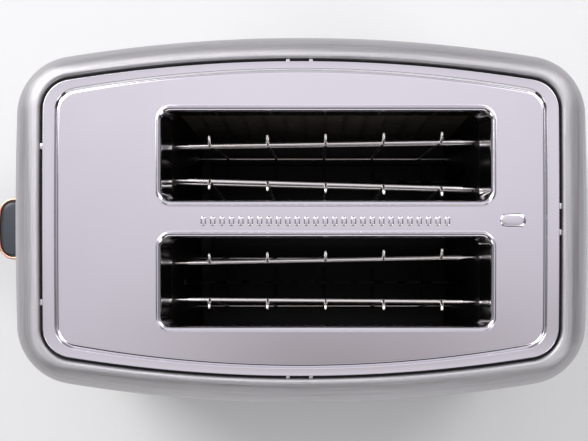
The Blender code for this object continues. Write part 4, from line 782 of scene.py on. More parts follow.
def body_outline(part=0.0, inset=0.0):
    """Outline of the body, from the wall at part 0 to the rim at part 1, set in evenly."""
    s = settings("sleeve")
    half_length = (SLEEVE_HIGH.x - SLEEVE_LOW.x) / 2 - s.rim_inset_end * part - inset
    half_width = (SLEEVE_HIGH.y - SLEEVE_LOW.y) / 2 - s.rim_inset_side * part - inset
    side_bow = s.side_bow + (s.rim_side_bow - s.side_bow) * part
    end_bow = s.end_bow + (s.rim_end_bow - s.end_bow) * part
    corner = s.corner + (s.rim_corner - s.corner) * part - inset
    return bowed_outline(half_length, half_width, side_bow, end_bow, corner) + (MIDDLE_X, 0.0)


def sleeve_rings():
    """Wall, elliptical shoulder and rolled-in lip, as (part, inset, height) rows of outlines.

    On the shoulder the height rises with the sine of an angle and the part with 1 - cosine.
    """
    s = settings("sleeve")
    top = SLEEVE_HIGH.z
    start = top - s.shoulder
    wall_angle = np.linspace(0, 1, 9)
    bulge = s.taper * (1 - wall_angle) ** 2 + (4 * s.mid_taper - s.taper) * wall_angle * (1 - wall_angle)
    rows = [(0.0, inset, SLEEVE_LOW.z + (start - SLEEVE_LOW.z) * rise)
            for rise, inset in zip(wall_angle, bulge)]
    for angle in np.linspace(0, math.pi / 2, 23)[1:]:
        rows.append((1 - math.cos(angle), 0.0, start + s.shoulder * math.sin(angle)))
    for angle in np.linspace(0, math.pi / 2, 9)[1:]:
        rows.append((1.0, s.lip_radius * math.sin(angle), top - s.lip_radius * (1 - math.cos(angle))))
    rows.append((1.0, s.lip_radius, top - s.lip_depth))
    return np.array([level(body_outline(part, inset), height) for part, inset, height in rows])


def make_sleeve():
    s = settings("sleeve")
    rings = sleeve_rings()
    wall = rings[8]
    loop = np.vstack([wall, wall[:1]])
    u = np.concatenate([[0.0], np.cumsum(np.linalg.norm(np.diff(loop, axis=0), axis=1))])
    column = rings[:, len(wall) // 4]
    v = np.concatenate([[0.0], np.cumsum(np.linalg.norm(np.diff(column, axis=0), axis=1))])
    left, right = u[:-1][None, :], u[1:][None, :]
    lower, upper = v[:-1][:, None], v[1:][:, None]
    corners = [(left, lower), (right, lower), (right, upper), (left, upper)]
    uv = np.stack([np.stack(np.broadcast_arrays(*corner), axis=-1) for corner in corners], axis=2)
    sleeve = add_mesh("outer_sleeve_skin", skin(rings, caps=False), sleeve_finish(u[-1]), uv)
    face_way(sleeve, (1, 0, 0), (SLEEVE_HIGH.x, 0, SLEEVE_LOW.z))
    solidify(sleeve, s.sheet)
    window = panel_outline(CLEARANCE)
    combine(sleeve, skin([upright(window, SLEEVE_LOW.x - OVERRUN), upright(window,
                                                                           SLEEVE_LOW.x + 2 * OVERRUN)]))
    settle(sleeve, "body", "sleeve_steel", "outer_sleeve")


# The top plate

def plate_outline(inset):
    """Outline of the plate at an inset from its ends. Along the sides the ledge is narrower."""
    s = settings("sleeve")
    p = settings("plate")
    side = inset - (p.ledge - p.ledge_side) * min(inset / p.ledge, 1)
    inset_end = s.rim_inset_end + s.lip_radius + p.gap + inset
    inset_side = s.rim_inset_side + s.lip_radius + p.gap + side
    half_length = (SLEEVE_HIGH.x - SLEEVE_LOW.x) / 2 - inset_end
    half_width = (SLEEVE_HIGH.y - SLEEVE_LOW.y) / 2 - inset_side
    corner = s.rim_corner - s.lip_radius - p.gap - side
    return bowed_outline(half_length, half_width, s.rim_side_bow, s.rim_end_bow, corner) + (MIDDLE_X, 0.0)


def slot_rings(slot_y, panel):
    """Rings of one slot: a level border, a raised bead, the rolled edge and the drafted collar.

    The bead rises as half a cosine wave, and the roll falls as a quarter of an ellipse.
    """
    t = settings("slots")
    rows = [(-t.bead_width - 0.6 * MM, panel)]
    for rise in np.linspace(0, 1, 7):
        rows.append((-t.bead_width * (1 - rise), panel + t.bead_height * (1 - math.cos(math.pi * rise)) / 2))
    for angle in np.linspace(0, math.pi / 2, 13)[1:]:
        rows.append((t.roll * math.sin(angle),
                     panel + t.bead_height - (t.roll + t.bead_height) * (1 - math.cos(angle))))
    rows = [(inset, inset, height) for inset, height in rows]
    rows.append((t.roll + t.draft, t.roll, panel - t.roll - t.depth))
    place = (MIDDLE_X + t.offset, slot_y)
    return [level(rounded_box(t.length / 2 - end, t.width / 2 - side, t.corner - side, 10), height, place)
            for end, side, height in rows]


def make_top_plate():
    """Flange, rounded edge, sloping ledge, step, groove, sunk panel, and two slots with collars.

    The step falls and the groove rises as half a cosine wave each.
    """
    p = settings("plate")
    t = settings("slots")
    ledge = SLEEVE_HIGH.z - p.drop
    panel = ledge - p.panel_drop
    rows = [(0.0, ledge - p.flange)]
    for angle in np.linspace(0, math.pi / 2, 9):
        rows.append((p.edge_radius * (1 - math.cos(angle)), ledge - p.edge_radius * (1 - math.sin(angle))))
    inner = ledge - p.ledge_fall
    for inset in (p.edge_radius + p.sheet / 4, p.ledge - p.sheet / 4):
        rows.append((inset, ledge - p.ledge_fall * inset / p.ledge))
    bottom = panel - p.groove_depth
    for wave in np.linspace(0, 1, 13):
        rows.append((p.ledge + p.step * wave, inner + (bottom - inner) * (1 - math.cos(math.pi * wave)) / 2))
    for wave in np.linspace(0, 1, 9)[1:]:
        rows.append((p.ledge + p.step + p.groove * wave,
                     bottom + p.groove_depth * (1 - math.cos(math.pi * wave)) / 2))
    rows.append((p.ledge + p.step + p.groove + 0.8 * MM, panel))
    rings = [level(plate_outline(inset), height) for inset, height in rows]
    shape = bmesh.new()
    borders = [add_bands(shape, rings)[-1]]
    for slot_y in (-t.pitch / 2, t.pitch / 2):
        borders.append(add_bands(shape, slot_rings(slot_y, panel))[0])
    edges = [shape.edges.get((border[step - 1], border[step]))
             for border in borders for step in range(len(border))]
    bmesh.ops.triangle_fill(shape, use_beauty=True, edges=edges)
    bmesh.ops.recalc_face_normals(shape, faces=shape.faces)
    mesh = bpy.data.meshes.new("top_plate_skin")
    shape.to_mesh(mesh)
    shape.free()
    plate = bpy.data.objects.new("top_plate_skin", mesh)
    bpy.context.scene.collection.objects.link(plate)
    mesh.materials.append(finish_named("plate"))
    smooth(mesh)
    face_way(plate, (0, 0, 1), (MIDDLE_X, 0, panel))
    solidify(plate, p.sheet)
    settle(plate, "body", "plate_steel", "top_plate")
    make_raised_bars(panel)
    make_tabs(ledge)


def add_bands(shape, rings):
    rows = [[shape.verts.new(point) for point in ring] for ring in rings]
    for lower, upper in zip(rows, rows[1:]):
        for step in range(len(lower)):
            shape.faces.new((lower[step - 1], lower[step], upper[step], upper[step - 1]))
    return rows


def dome(half_x, half_y, height, place, floor, sink):
    """A low pressed bar: a rounded outline that draws in as it rises with the sine of an angle."""
    corner = min(half_x, half_y) * 0.98
    rings = [level(rounded_box(half_x, half_y, corner, 4), floor - sink, place)]
    for angle in np.linspace(0, math.pi / 2, 5):
        inset = corner * 0.6 * (1 - math.cos(angle))
        rings.append(level(rounded_box(half_x - inset, half_y - inset, corner - inset, 4),
                           floor + height * math.sin(angle), place))
    return skin(rings)


def make_raised_bars(panel):
    """A plain row of short pressed bars along the bridge, and one pressed oval beside it."""
    p = settings("plate")
    first, last = MIDDLE_X - 46.5 * MM, MIDDLE_X + 70.0 * MM
    middle_y = -1.2 * MM
    places = np.linspace(first, last, p.bar_count)
    bars = [dome(1.3 * MM, 2.4 * MM, p.bar_height, (x, middle_y), panel, 0.2 * MM) for x in places]
    bars.append(dome(6.2 * MM, 3.4 * MM, p.bar_height, (MIDDLE_X + 101.3 * MM, -0.8 * MM), panel, 0.2 * MM))
    piece = add_mesh("bridge_raised_bars", merged(bars), finish_named("plate"))
    settle(piece, "body", "plate_steel")


def make_tabs(ledge):
    """Small tongues of the plate that bridge the dark gap and locate it in the rim."""
    p = settings("plate")
    gap = p.gap
    outline = plate_outline(0.0) - (MIDDLE_X, 0.0)
    side_y = float(outline[:, 1].max())
    end_x = float(outline[:, 0].max())
    shapes = []
    for x in (-6.1 * MM, 4.9 * MM):
        for side in (-1, 1):
            low_y, high_y = sorted((side * (side_y - 0.4 * MM), side * (side_y + gap - 0.1 * MM)))
            shapes.append(pad((MIDDLE_X + x - 0.9 * MM, low_y, ledge - 2.2 * MM),
                              (MIDDLE_X + x + 0.9 * MM, high_y, ledge - 1.2 * MM), 0.3 * MM, 0.2 * MM))
    for side, places in ((-1, (34.5 * MM, -40.0 * MM)), (1, (6.0 * MM, -6.5 * MM))):
        for y in places:
            low_x, high_x = sorted((side * (end_x - 0.4 * MM), side * (end_x + gap - 0.1 * MM)))
            shapes.append(pad((MIDDLE_X + low_x, y - 1.4 * MM, ledge - 2.2 * MM),
                              (MIDDLE_X + high_x, y + 1.4 * MM, ledge - 1.2 * MM), 0.3 * MM, 0.2 * MM))
    settle(add_mesh("plate_tabs", merged(shapes), finish_named("plate")), "body", "plate_steel")


def make_top_frame():
    """Black ring under the plate: a rounded box section carried round the body."""
    low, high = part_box("top_frame")
    band = 14.0 * MM
    inset = SLEEVE_HIGH.x - high.x
    profile = rounded_path([(inset, low.z), (inset, high.z), (inset + band, high.z), (inset + band, low.z)],
                           [0.6 * MM] * 4, closed=True, steps=3)
    rings = np.array([level(body_outline(0.0, row_inset), height) for row_inset, height in profile])
    piece = add_mesh("top_frame_ring", skin(rings, closed=True), finish_named("black"))
    settle(piece, "body", "black_plastic", "top_frame")


# The bread guides

# Each guide: its slot's side of the body, its own side of that slot (both as signs of Y), how far its
# closed rail stands from the slot's middle, and how much it splays out per length of rail
GUIDES = {
    "guide_back_outer": (1, 1, 8.5 * MM, 0.017),
    "guide_back_inner": (1, -1, 11.7 * MM, 0.029),
    "guide_front_inner": (-1, 1, 10.8 * MM, 0.020),
    "guide_front_outer": (-1, -1, 9.4 * MM, 0.008),
}


def guide_points(name, x, height):
    """Points of a guide: it leans in with its height over the pivot, and splays out along X."""
    g = settings("guides")
    slot_side, outward, closed_offset, splay = GUIDES[name]
    slot_y = slot_side * settings("slots").pitch / 2
    rise = (np.asarray(height) - g.pivot_height) / (g.rail_height - g.pivot_height)
    middle = MIDDLE_X + settings("slots").offset
    lean = g.pivot_offset - closed_offset - splay * (np.asarray(x) - middle)
    y = slot_y + outward * (g.pivot_offset - rise * lean)
    return np.column_stack(np.broadcast_arrays(x, y, height))


def make_guide(name):
    """Pivot wire, double top rail, lower rail, and uprights whose tips turn outwards.

    A tip's way out grows with the power 1.6 of its length, and its rise with the sine.
    """
    g = settings("guides")
    _, outward, _, _ = GUIDES[name]
    middle = MIDDLE_X + settings("slots").offset
    low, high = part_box(name)
    spread = np.linspace(-1, 1, 9)
    shapes = [rounded_rod(guide_points(name, np.linspace(low.x, high.x, 5), g.pivot_height),
                          1.2 * MM, (0, 0, 1))]
    reach = (high.x - low.x) / 2 - 2.6 * MM
    rails = (
        (g.rail_height, g.rail_radius, g.rail_length / 2),
        (g.rail_height - g.wire_radius, g.thin_radius, reach),
        (g.rail_height - g.lower_drop, g.thin_radius, reach),
    )
    for height, radius, half in rails:
        shapes.append(rounded_rod(guide_points(name, middle + half * spread, height), radius, (0, 0, 1)))
    first = middle - g.wire_pitch * (g.wires - 1) / 2
    for wire in range(g.wires):
        x = first + wire * g.wire_pitch
        stem = guide_points(name, x, np.linspace(g.pivot_height, g.rail_height, 9))
        t = np.linspace(0, 1, 10)[1:]
        knee = stem[-1]
        out = outward * g.tip_out * t ** 1.6
        up = g.tip_rise * np.sin(t * math.pi / 2)
        tip = np.column_stack([np.full(len(t), x), knee[1] + out, knee[2] + up])
        shapes.append(rounded_rod(np.vstack([stem, tip]), g.wire_radius, (1, 0, 0)))
    piece = add_mesh(name + "_wires", merged(shapes), finish_named("wire"))
    settle(piece, name + "_frame", "chrome_wire", name)


def rounded_rod(path, radius, side, sides=12):
    """A wire with domed ends: the circle shrinks with a cosine over its last radius of path."""
    path = np.asarray(path, float)
    start_way = (path[1] - path[0]) / np.linalg.norm(path[1] - path[0])
    end_way = (path[-1] - path[-2]) / np.linalg.norm(path[-1] - path[-2])
    angle = np.linspace(0, math.pi / 2, 5)[:-1]
    back = radius * (1 - np.sin(angle))
    head = path[0] + start_way * back[:, None]
    tail = path[-1] - end_way * back[::-1][:, None]
    inner = path[1:-1]
    full = np.vstack([head, path[0] + start_way * radius * 1.0001, inner,
                      path[-1] - end_way * radius * 1.0001, tail])
    radii = np.concatenate([radius * np.cos(np.linspace(math.pi / 2, 0, 5))[:-1].clip(0.12), [radius],
                            np.full(len(inner), radius), [radius],
                            radius * np.cos(np.linspace(0, math.pi / 2, 5))[1:].clip(0.12)])
    way = np.gradient(full, axis=0)
    way[:5] = start_way
    way[-5:] = end_way
    way /= np.linalg.norm(way, axis=1)[:, None]
    side = np.asarray(side, float)
    first = side - way * (way @ side)[:, None]
    first /= np.linalg.norm(first, axis=1)[:, None]
    second = np.cross(way, first)
    angle = np.arange(sides) * math.tau / sides
    rings = (full[:, None] + radii[:, None, None] * (np.cos(angle)[None, :, None] * first[:, None]
                                                     + np.sin(angle)[None, :, None] * second[:, None]))
    return skin(rings)


def make_guides():
    for name in GUIDES:
        make_guide(name)


# The lever

def knob_outline(inset):
    v = settings("lever")
    centre_x = TRIM_LOW.x + v.knob_depth / 2
    outline = bowed_outline(v.knob_depth / 2 - inset, v.knob_width / 2 - inset, 0.3 * MM, v.bow,
                            v.corner - inset, (4, 14, 4))
    return outline + (centre_x, 0.0)


def make_lever():
    """Arm, soft-edged knob and the metal trim round it."""
    v = settings("lever")
    low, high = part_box("lever_arm")
    arm = add_mesh("lever_arm_bar", pad(low, high, 1.0 * MM, 0.4 * MM, axis="x"), finish_named("works"))
    settle(arm, "lift", "plated_steel", "lever_arm")
    bottom, top = v.height - v.knob_height / 2, v.height + v.knob_height / 2
    skin_inset = v.trim + CLEARANCE
    rows = []
    angles = np.linspace(0, math.pi / 2, 8)
    for angle in angles:
        rows.append((skin_inset + v.edge * (1 - math.sin(angle)),
                     bottom + v.edge * 0.55 * (1 - math.cos(angle))))
    for angle in angles:
        rows.append((skin_inset + v.edge * (1 - math.cos(angle)),
                     top - v.edge * 0.55 * (1 - math.sin(angle))))
    knob = add_mesh("lever_knob_body", skin([level(knob_outline(inset), height) for inset, height in rows]),
                    finish_named("slate"))
    pocket = pad((low.x - CLEARANCE, low.y - CLEARANCE, low.z - CLEARANCE),
                 (TRIM_LOW.x + 2 * v.knob_depth, high.y + CLEARANCE, high.z + CLEARANCE), 1.0 * MM, 0.2 * MM,
                 axis="x")
    combine(knob, pocket)
    settle(knob, "lift", "slate_plastic", "lever_knob")
    trim_low, trim_high = bottom + v.trim_setback, top - v.trim_setback
    profile = rounded_path([(0.0, trim_low), (0.0, trim_high), (v.trim, trim_high), (v.trim, trim_low)],
                           [0.6 * MM] * 4, closed=True, steps=5)
    rings = np.array([level(knob_outline(inset), height) for inset, height in profile])
    trim = add_mesh("knob_trim_band", skin(rings, closed=True), finish_named("copper"))
    combine(trim, pocket)
    settle(trim, "lift", "copper_trim", "knob_trim")


# The control panel, its buttons and its dial

def panel_outline(grow=0.0):
    c = settings("panel")
    half_height = (c.top - c.bottom) / 2
    place = (0.0, c.bottom + half_height)
    return rounded_box(c.half_width + grow, half_height + grow, c.corner + grow, 12) + place


def make_control_panel():
    """Face with a rounded rim, flange behind the wall, slit and holes."""
    c = settings("panel")
    face_x = SLEEVE_LOW.x + c.recess
    rim = 0.6 * MM
    dish = 0.5 * MM
    rows = [(-3.2 * MM, face_x + dish), (-2.0 * MM, face_x + dish)]
    for angle in np.linspace(0, math.pi / 2, 5):
        rows.append((-2.0 * MM + dish * math.sin(angle), face_x + dish * math.cos(angle)))
    for angle in np.linspace(0, math.pi / 2, 6):
        rows.append((-rim * (1 - math.sin(angle)), face_x + rim * (1 - math.cos(angle))))
    mid_x = face_x + c.face_depth
    rows += [(0.0, mid_x), (c.flange, mid_x), (c.flange, mid_x + c.flange_depth)]
    rings = [upright(panel_outline(grow), x) for grow, x in rows]
    panel = add_mesh("control_panel_face", skin(rings), finish_named("slate"))
    low_x, high_x = face_x - OVERRUN, mid_x + c.flange_depth + OVERRUN
    arm_low, arm_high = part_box("lever_arm")
    travel = frame_range("lever_slide")
    slit = pad((low_x, arm_low.y - c.slit_margin, arm_low.z - c.slit_margin),
               (high_x, arm_high.y + c.slit_margin, arm_high.z + travel + c.slit_margin), 1.6 * MM, 0.2 * MM,
               axis="x")
    combine(panel, slit)
    shaft_low, shaft_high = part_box("dial_shaft")
    shaft = ((shaft_high.z - shaft_low.z) / 2 + 2 * CLEARANCE)
    dial_z = (shaft_low.z + shaft_high.z) / 2
    combine(panel, skin(turned([(low_x, shaft), (high_x, shaft)], (0, 0, dial_z), 32, "x")))
    for name in BUTTONS:
        low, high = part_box(name)
        place = ((low.y + high.y) / 2, (low.z + high.z) / 2)
        hole = rounded_box(c.button_half_width + CLEARANCE, c.button_half_height + CLEARANCE,
                           c.button_half_width - 0.2 * MM + CLEARANCE, 10)
        combine(panel, skin([upright(hole, low_x, place), upright(hole, high_x, place)]))
    settle(panel, "body", "slate_plastic", "control_panel")
    make_panel_marks(face_x + dish, dial_z)


def frame_range(joint):
    """The far end of a sliding joint's range."""
    return next(j for j in frame["joints"] if j["name"] == joint)["range_m"][1]


BUTTONS = ("button_defrost", "button_reheat", "button_cancel")


def make_panel_marks(face_x, dial_z):
    """Plain ticks round the dial that grow along its scale, and a thin frame round each button."""
    c = settings("panel")
    ring_radius = c.dial_radius + c.dial_ring + 2 * CLEARANCE
    shapes = []
    for index, turn in enumerate(np.radians(np.linspace(-120, 120, 9))):
        reach = (1.6 + 0.28 * index) * MM
        inner = ring_radius + 1.6 * MM
        along = np.array([math.sin(turn), math.cos(turn)])
        centre = along * (inner + reach / 2) + (0.0, dial_z)
        flat = rounded_box(0.45 * MM, reach / 2, 0.42 * MM, 4)
        turned_flat = flat[:, :1] * np.array([along[1], -along[0]]) + flat[:, 1:] * along
        shapes.append(skin([upright(turned_flat, face_x + 0.2 * MM, centre),
                            upright(turned_flat, face_x - 0.16 * MM, centre),
                            upright(turned_flat * 0.9, face_x - 0.22 * MM, centre)]))
    marks = add_mesh("dial_scale_ticks", merged(shapes), finish_named("copper"))
    settle(marks, "body", "copper_trim")


def make_buttons():
    """Pill-shaped buttons with a dished face and rounded edge, flanged behind the panel."""
    c = settings("panel")
    face_x = SLEEVE_LOW.x + c.recess - c.button_proud
    corner = c.button_half_width - 0.2 * MM
    for name in BUTTONS:
        low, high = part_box(name)
        place = ((low.y + high.y) / 2, (low.z + high.z) / 2)
        edge = 0.9 * MM
        rows = [(-2.9 * MM, face_x + 0.35 * MM), (-2.2 * MM, face_x + 0.30 * MM), (-1.5 * MM,
                                                                                   face_x + 0.12 * MM)]
        for angle in np.linspace(0, math.pi / 2, 7):
            rows.append((-edge * (1 - math.sin(angle)), face_x + edge * (1 - math.cos(angle))))
        flange_x = SLEEVE_LOW.x + c.recess + c.face_depth + c.flange_depth + CLEARANCE
        rows += [(0.0, flange_x), (1.2 * MM, flange_x), (1.2 * MM, flange_x + 1.5 * MM),
                 (-2.2 * MM, flange_x + 1.5 * MM), (-2.2 * MM, high.x)]
        rings = [upright(rounded_box(c.button_half_width + grow, c.button_half_height + grow,
                                     max(corner + grow, 0.3 * MM), 10), x, place) for grow, x in rows]
        piece = add_mesh(name + "_cap", skin(rings), finish_named("black"))
        settle(piece, name.replace("button_", ""), "black_plastic", name)


def make_dial():
    """Dial with a ribbed skirt and a pointer, and the metal ring round it.

    On the skirt the radius shrinks by a share of |cos(n angle / 2)|, which cuts n narrow ribs.
    """
    c = settings("panel")
    low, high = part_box("browning_dial")
    centre = (0.0, 0.0, (low.z + high.z) / 2)
    radius, seat = c.dial_radius, high.x
    cap = radius - 1.2 * MM
    rows = [(low.x + 0.5 * MM, 2.0 * MM), (low.x + 0.45 * MM, cap - 3.4 * MM), (low.x + 0.05 * MM,
                                                                                cap - 2.2 * MM)]
    for angle in np.linspace(0, math.pi / 2, 7):
        rows.append((low.x + 1.2 * MM * (1 - math.cos(angle)), cap - 1.2 * MM * (1 - math.sin(angle))))
    skirt_start = len(rows)
    for rise in np.linspace(0, 1, 9):
        rows.append((low.x + 2.0 * MM + (seat - low.x - 2.0 * MM) * rise, cap + (radius - cap) * rise))
    bore = 3.0 * MM + CLEARANCE
    rows += [(seat, bore), (seat - 8.3 * MM, bore)]
    rings = turned(rows, (0, 0, 0), 180, "x")
    angle = np.arange(180) * math.tau / 180
    ribs = 0.55 * MM * (1 - np.abs(np.cos(angle * 18)) ** 0.7)
    fade = np.array([0.0] * skirt_start + [0, 0.7, 1, 1, 1, 1, 1, 0.7, 0] + [0.0, 0.0])
    reach = np.linalg.norm(rings[..., 1:], axis=-1)
    rings[..., 1:] *= ((reach - fade[:, None] * ribs[None, :]) / reach)[..., None]
    rings = rings + centre
    dial = add_mesh("browning_dial_body", skin(rings), finish_named("slate"))
    mark = pad((low.x - OVERRUN, -0.8 * MM, centre[2] + 1.5 * MM),
               (low.x + 0.8 * MM, 0.8 * MM, centre[2] + radius - 3.2 * MM), 0.7 * MM, 0.2 * MM, axis="x")
    combine(dial, mark)
    settle(dial, "dial", "slate_plastic", "browning_dial")
    pointer = pad((low.x + 0.25 * MM, -0.5 * MM, centre[2] + 1.8 * MM),
                  (low.x + 1.1 * MM, 0.5 * MM, centre[2] + radius - 3.5 * MM), 0.45 * MM, 0.15 * MM, axis="x")
    settle(add_mesh("dial_pointer", pointer, finish_named("copper")), "dial", "copper_trim")
    ring_low, ring_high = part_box("dial_ring")
    outer = (ring_high.z - ring_low.z) / 2
    profile = rounded_path([(ring_high.x, outer), (ring_low.x, outer - 1.0 * MM),
                            (ring_low.x, outer - c.dial_ring), (ring_high.x, outer - c.dial_ring)],
                           [0.2 * MM, 0.7 * MM, 0.5 * MM, 0.2 * MM], closed=True, steps=5)
    ring = add_mesh("dial_ring_band", skin(turned(profile, centre, 96, "x"), closed=True),
                    finish_named("copper"))
    settle(ring, "body", "copper_trim", "dial_ring")


# Base, feet, tray and inlet

def make_base():
    """Tub: rounded lower edge, flush skirt, ledge under the sleeve, upstand and floor."""
    b = settings("base")
    s = settings("sleeve")
    low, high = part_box("base")
    floor = low.z + b.floor
    ledge = SLEEVE_LOW.z - CLEARANCE
    upstand = s.taper + s.sheet + CLEARANCE
    rows = []
    for angle in np.linspace(0, math.pi / 2, 7):
        rows.append((s.taper + b.chamfer * (1 - math.sin(angle)), low.z + b.chamfer * (1 - math.cos(angle))))
    rows += [(s.taper, ledge - 0.3 * MM), (s.taper + 0.3 * MM, ledge), (upstand, ledge), (upstand, high.z),
             (upstand + b.wall, high.z), (upstand + b.wall, floor)]
    rings = [level(body_outline(0.0, inset), height) for inset, height in rows]
    base = add_mesh("base_tub", skin(rings), finish_named("black"))
    _, tray_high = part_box("crumb_tray")
    half = tray_high.y + 2 * CLEARANCE
    combine(base, pad((high.x - 3 * OVERRUN, -half, floor), (high.x + OVERRUN, half, floor + b.tray_opening),
                      0.6 * MM, 0.1 * MM, axis="x"))
    gland_low, gland_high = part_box("cord_gland")
    gland_y, gland_z = (gland_low.y + gland_high.y) / 2, (gland_low.z + gland_high.z) / 2
    hole = 5.0 * MM + CLEARANCE
    combine(base, skin(turned([(gland_low.x - OVERRUN, hole), (gland_high.x + OVERRUN, hole)],
                              (0, gland_y, gland_z), 40, "x")))
    for name in FEET:
        foot_low, foot_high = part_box(name)
        place = ((foot_low.x + foot_high.x) / 2, (foot_low.y + foot_high.y) / 2, 0)
        combine(base, skin(turned([(low.z - OVERRUN, 3.0 * MM + CLEARANCE), (floor + OVERRUN,
                                                                             3.0 * MM + CLEARANCE)],
                                  place, 32)))
    for name in SCREWS:
        screw_low, screw_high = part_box(name)
        place = ((screw_low.x + screw_high.x) / 2, (screw_low.y + screw_high.y) / 2, 0)
        sink = 3.2 * MM + CLEARANCE
        hole = 1.5 * MM + CLEARANCE
        combine(base, skin(turned([(low.z - OVERRUN, sink), (low.z + 1.8 * MM, sink), (low.z + 1.8 * MM,
                                                                                       hole),
                                   (floor + OVERRUN, hole)], place, 32)))
    settle(base, "body", "black_plastic", "base")


FEET = ("foot_lever_front", "foot_lever_back", "foot_rear_front", "foot_rear_back")
SCREWS = ("screw_lever_front", "screw_lever_back", "screw_rear_front", "screw_rear_back")


def make_feet():
    """Rubber feet: a soft edge at the table, a shallow ring groove in the sole, a peg above."""
    b = settings("base")
    for name in FEET:
        low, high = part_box(name)
        place = ((low.x + high.x) / 2, (low.y + high.y) / 2, 0)
        top = 4.7 * MM
        corners = [(0.5 * MM, 0.2 * MM), (0.5 * MM, 3.4 * MM), (0.0, 3.9 * MM), (0.0,
                                                                                 b.foot_radius - 0.2 * MM),
                   (top, b.foot_radius), (top, 3.0 * MM), (high.z, 3.0 * MM)]
        profile = rounded_path(corners, [0, 0.2 * MM, 0.2 * MM, 1.1 * MM, 0.3 * MM, 0.2 * MM, 0], steps=5)
        foot = add_mesh(name + "_pad", skin(turned(profile, place, 48)), finish_named("rubber"))
        settle(foot, "body", "rubber", name)


def make_screws():
    """Pan-head screws with a cross recess, up through the floor into the end plates' tabs."""
    for name in SCREWS:
        low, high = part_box(name)
        x, y = (low.x + high.x) / 2, (low.y + high.y) / 2
        head = 3.2 * MM
        profile = rounded_path([(low.z, 0.2 * MM), (low.z, head), (low.z + 1.3 * MM, head),
                                (low.z + 1.3 * MM, 1.5 * MM), (high.z - 1.0 * MM, 1.5 * MM), (high.z,
                                                                                              0.4 * MM)],
                               [0, 0.8 * MM, 0.2 * MM, 0.2 * MM, 0.2 * MM, 0], steps=4)
        screw = add_mesh(name + "_turned", skin(turned(profile, (x, y, 0), 32)), finish_named("works"))
        for half_x, half_y in ((0.35 * MM, 1.9 * MM), (1.9 * MM, 0.35 * MM)):
            combine(screw, pad((x - half_x, y - half_y, low.z - OVERRUN), (x + half_x, y + half_y,
                                                                           low.z + 0.8 * MM),
                               0.2 * MM, 0.1 * MM))
        settle(screw, "body", "plated_steel", name)


def make_tray():
    """Handle that closes the opening at the rear, with a grip whose edge is fully rounded."""
    b = settings("base")
    # The crumb tray takes the near-black chamber steel, whose darkness is partly painted shade.
    redress("chamber", "crumb_tray")
    low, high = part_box("crumb_tray_handle")
    back_x = low.x + 3.4 * MM - CLEARANCE
    plate = pad((low.x, low.y, low.z), (back_x, high.y, high.z), 0.8 * MM, 0.5 * MM, axis="x")
    middle = (low.z + high.z) / 2
    grip = pad((low.x + 1.2 * MM, -b.grip_half_width, middle - b.grip_thickness / 2),
               (high.x, b.grip_half_width, middle + b.grip_thickness / 2), b.grip_corner, 1.2 * MM)
    handle = add_mesh("crumb_tray_grip", plate, finish_named("black"))
    combine(handle, grip, "UNION")
    settle(handle, "tray", "black_plastic", "crumb_tray_handle")


def make_inlet():
    """Cord gland turned about its hole, with a rounded flange."""
    low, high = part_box("cord_gland")
    y, z = (low.y + high.y) / 2, (low.z + high.z) / 2
    bore, body, flange = 3.6 * MM, 5.0 * MM, 6.2 * MM
    seat = high.x - 2.0 * MM
    corners = [(low.x, bore), (low.x, body), (seat, body), (seat, flange), (high.x, flange), (high.x, bore)]
    profile = rounded_path(corners, [0.4 * MM, 0.3 * MM, 0.2 * MM, 0.3 * MM, 1.1 * MM, 0.6 * MM], closed=True,
                           steps=5)
    gland = add_mesh("cord_gland_ring", skin(turned(profile, (0, y, z), 64, "x"), closed=True),
                     finish_named("black"))
    settle(gland, "body", "black_plastic", "cord_gland")


# Works inside

def make_racks():
    """Rack bars with a scalloped upper edge and round cross rods that carry the bread."""
    for side, name in ((-1, "lift_rack_front"), (1, "lift_rack_back")):
        low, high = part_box(name)
        slot_y = side * settings("slots").pitch / 2
        half = 0.7 * MM
        middle = MIDDLE_X + settings("slots").offset
        x = np.linspace(low.x, high.x, 240)
        reach = settings("slots").length / 2 - 8 * MM
        scallop = 1.6 * MM * np.sin((x - middle) * math.pi / (14.4 * MM)) ** 2 * (np.abs(x - middle) < reach)
        top = high.z - scallop
        wall = np.full(len(x), low.z)
        left = np.column_stack([x, np.full(len(x), slot_y - half), wall])
        right = np.column_stack([x, np.full(len(x), slot_y + half), wall])
        right_up = np.column_stack([x, np.full(len(x), slot_y + half), top])
        left_up = np.column_stack([x, np.full(len(x), slot_y - half), top])
        shapes = [skin(np.stack([left, right, right_up, left_up], axis=1))]
        for rod in range(5):
            rod_x = middle + (rod - 2) * 28.8 * MM
            spread = np.linspace(-9.0 * MM, 9.0 * MM, 7)
            dip = 0.6 * MM * (1 - (spread / (9.0 * MM)) ** 2)
            path = np.column_stack([np.full(7, rod_x), slot_y + spread, high.z - 1.1 * MM - dip])
            shapes.append(rounded_rod(path, 0.9 * MM, (1, 0, 0)))
        # The racks take the near-black chamber steel, whose darkness is partly painted shade.
        piece = add_mesh(name + "_bar", merged(shapes), finish_named("chamber"))
        settle(piece, "lift", "plated_steel", name)


def make_spring():
    """Return spring: a helix of close curls with a straight stub at each end."""
    low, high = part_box("return_spring")
    x, y = (low.x + high.x) / 2, (low.y + high.y) / 2
    radius = (high.x - low.x) / 2 - 0.5 * MM
    curls = 22
    t = np.linspace(0, 1, curls * 18 + 1)
    path = np.column_stack([x + radius * np.cos(t * curls * math.tau),
                            y + radius * np.sin(t * curls * math.tau),
                            low.z + 0.5 * MM + (high.z - low.z - 1.0 * MM) * t])
    spring = add_mesh("return_spring_coil", tube(path, 0.45 * MM, (0, 0, 1), 8), finish_named("works"))
    settle(spring, "body", "plated_steel", "return_spring")
    travel = frame_range("lever_slide")
    1 - travel / (high.z - low.z)
    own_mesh(spring)


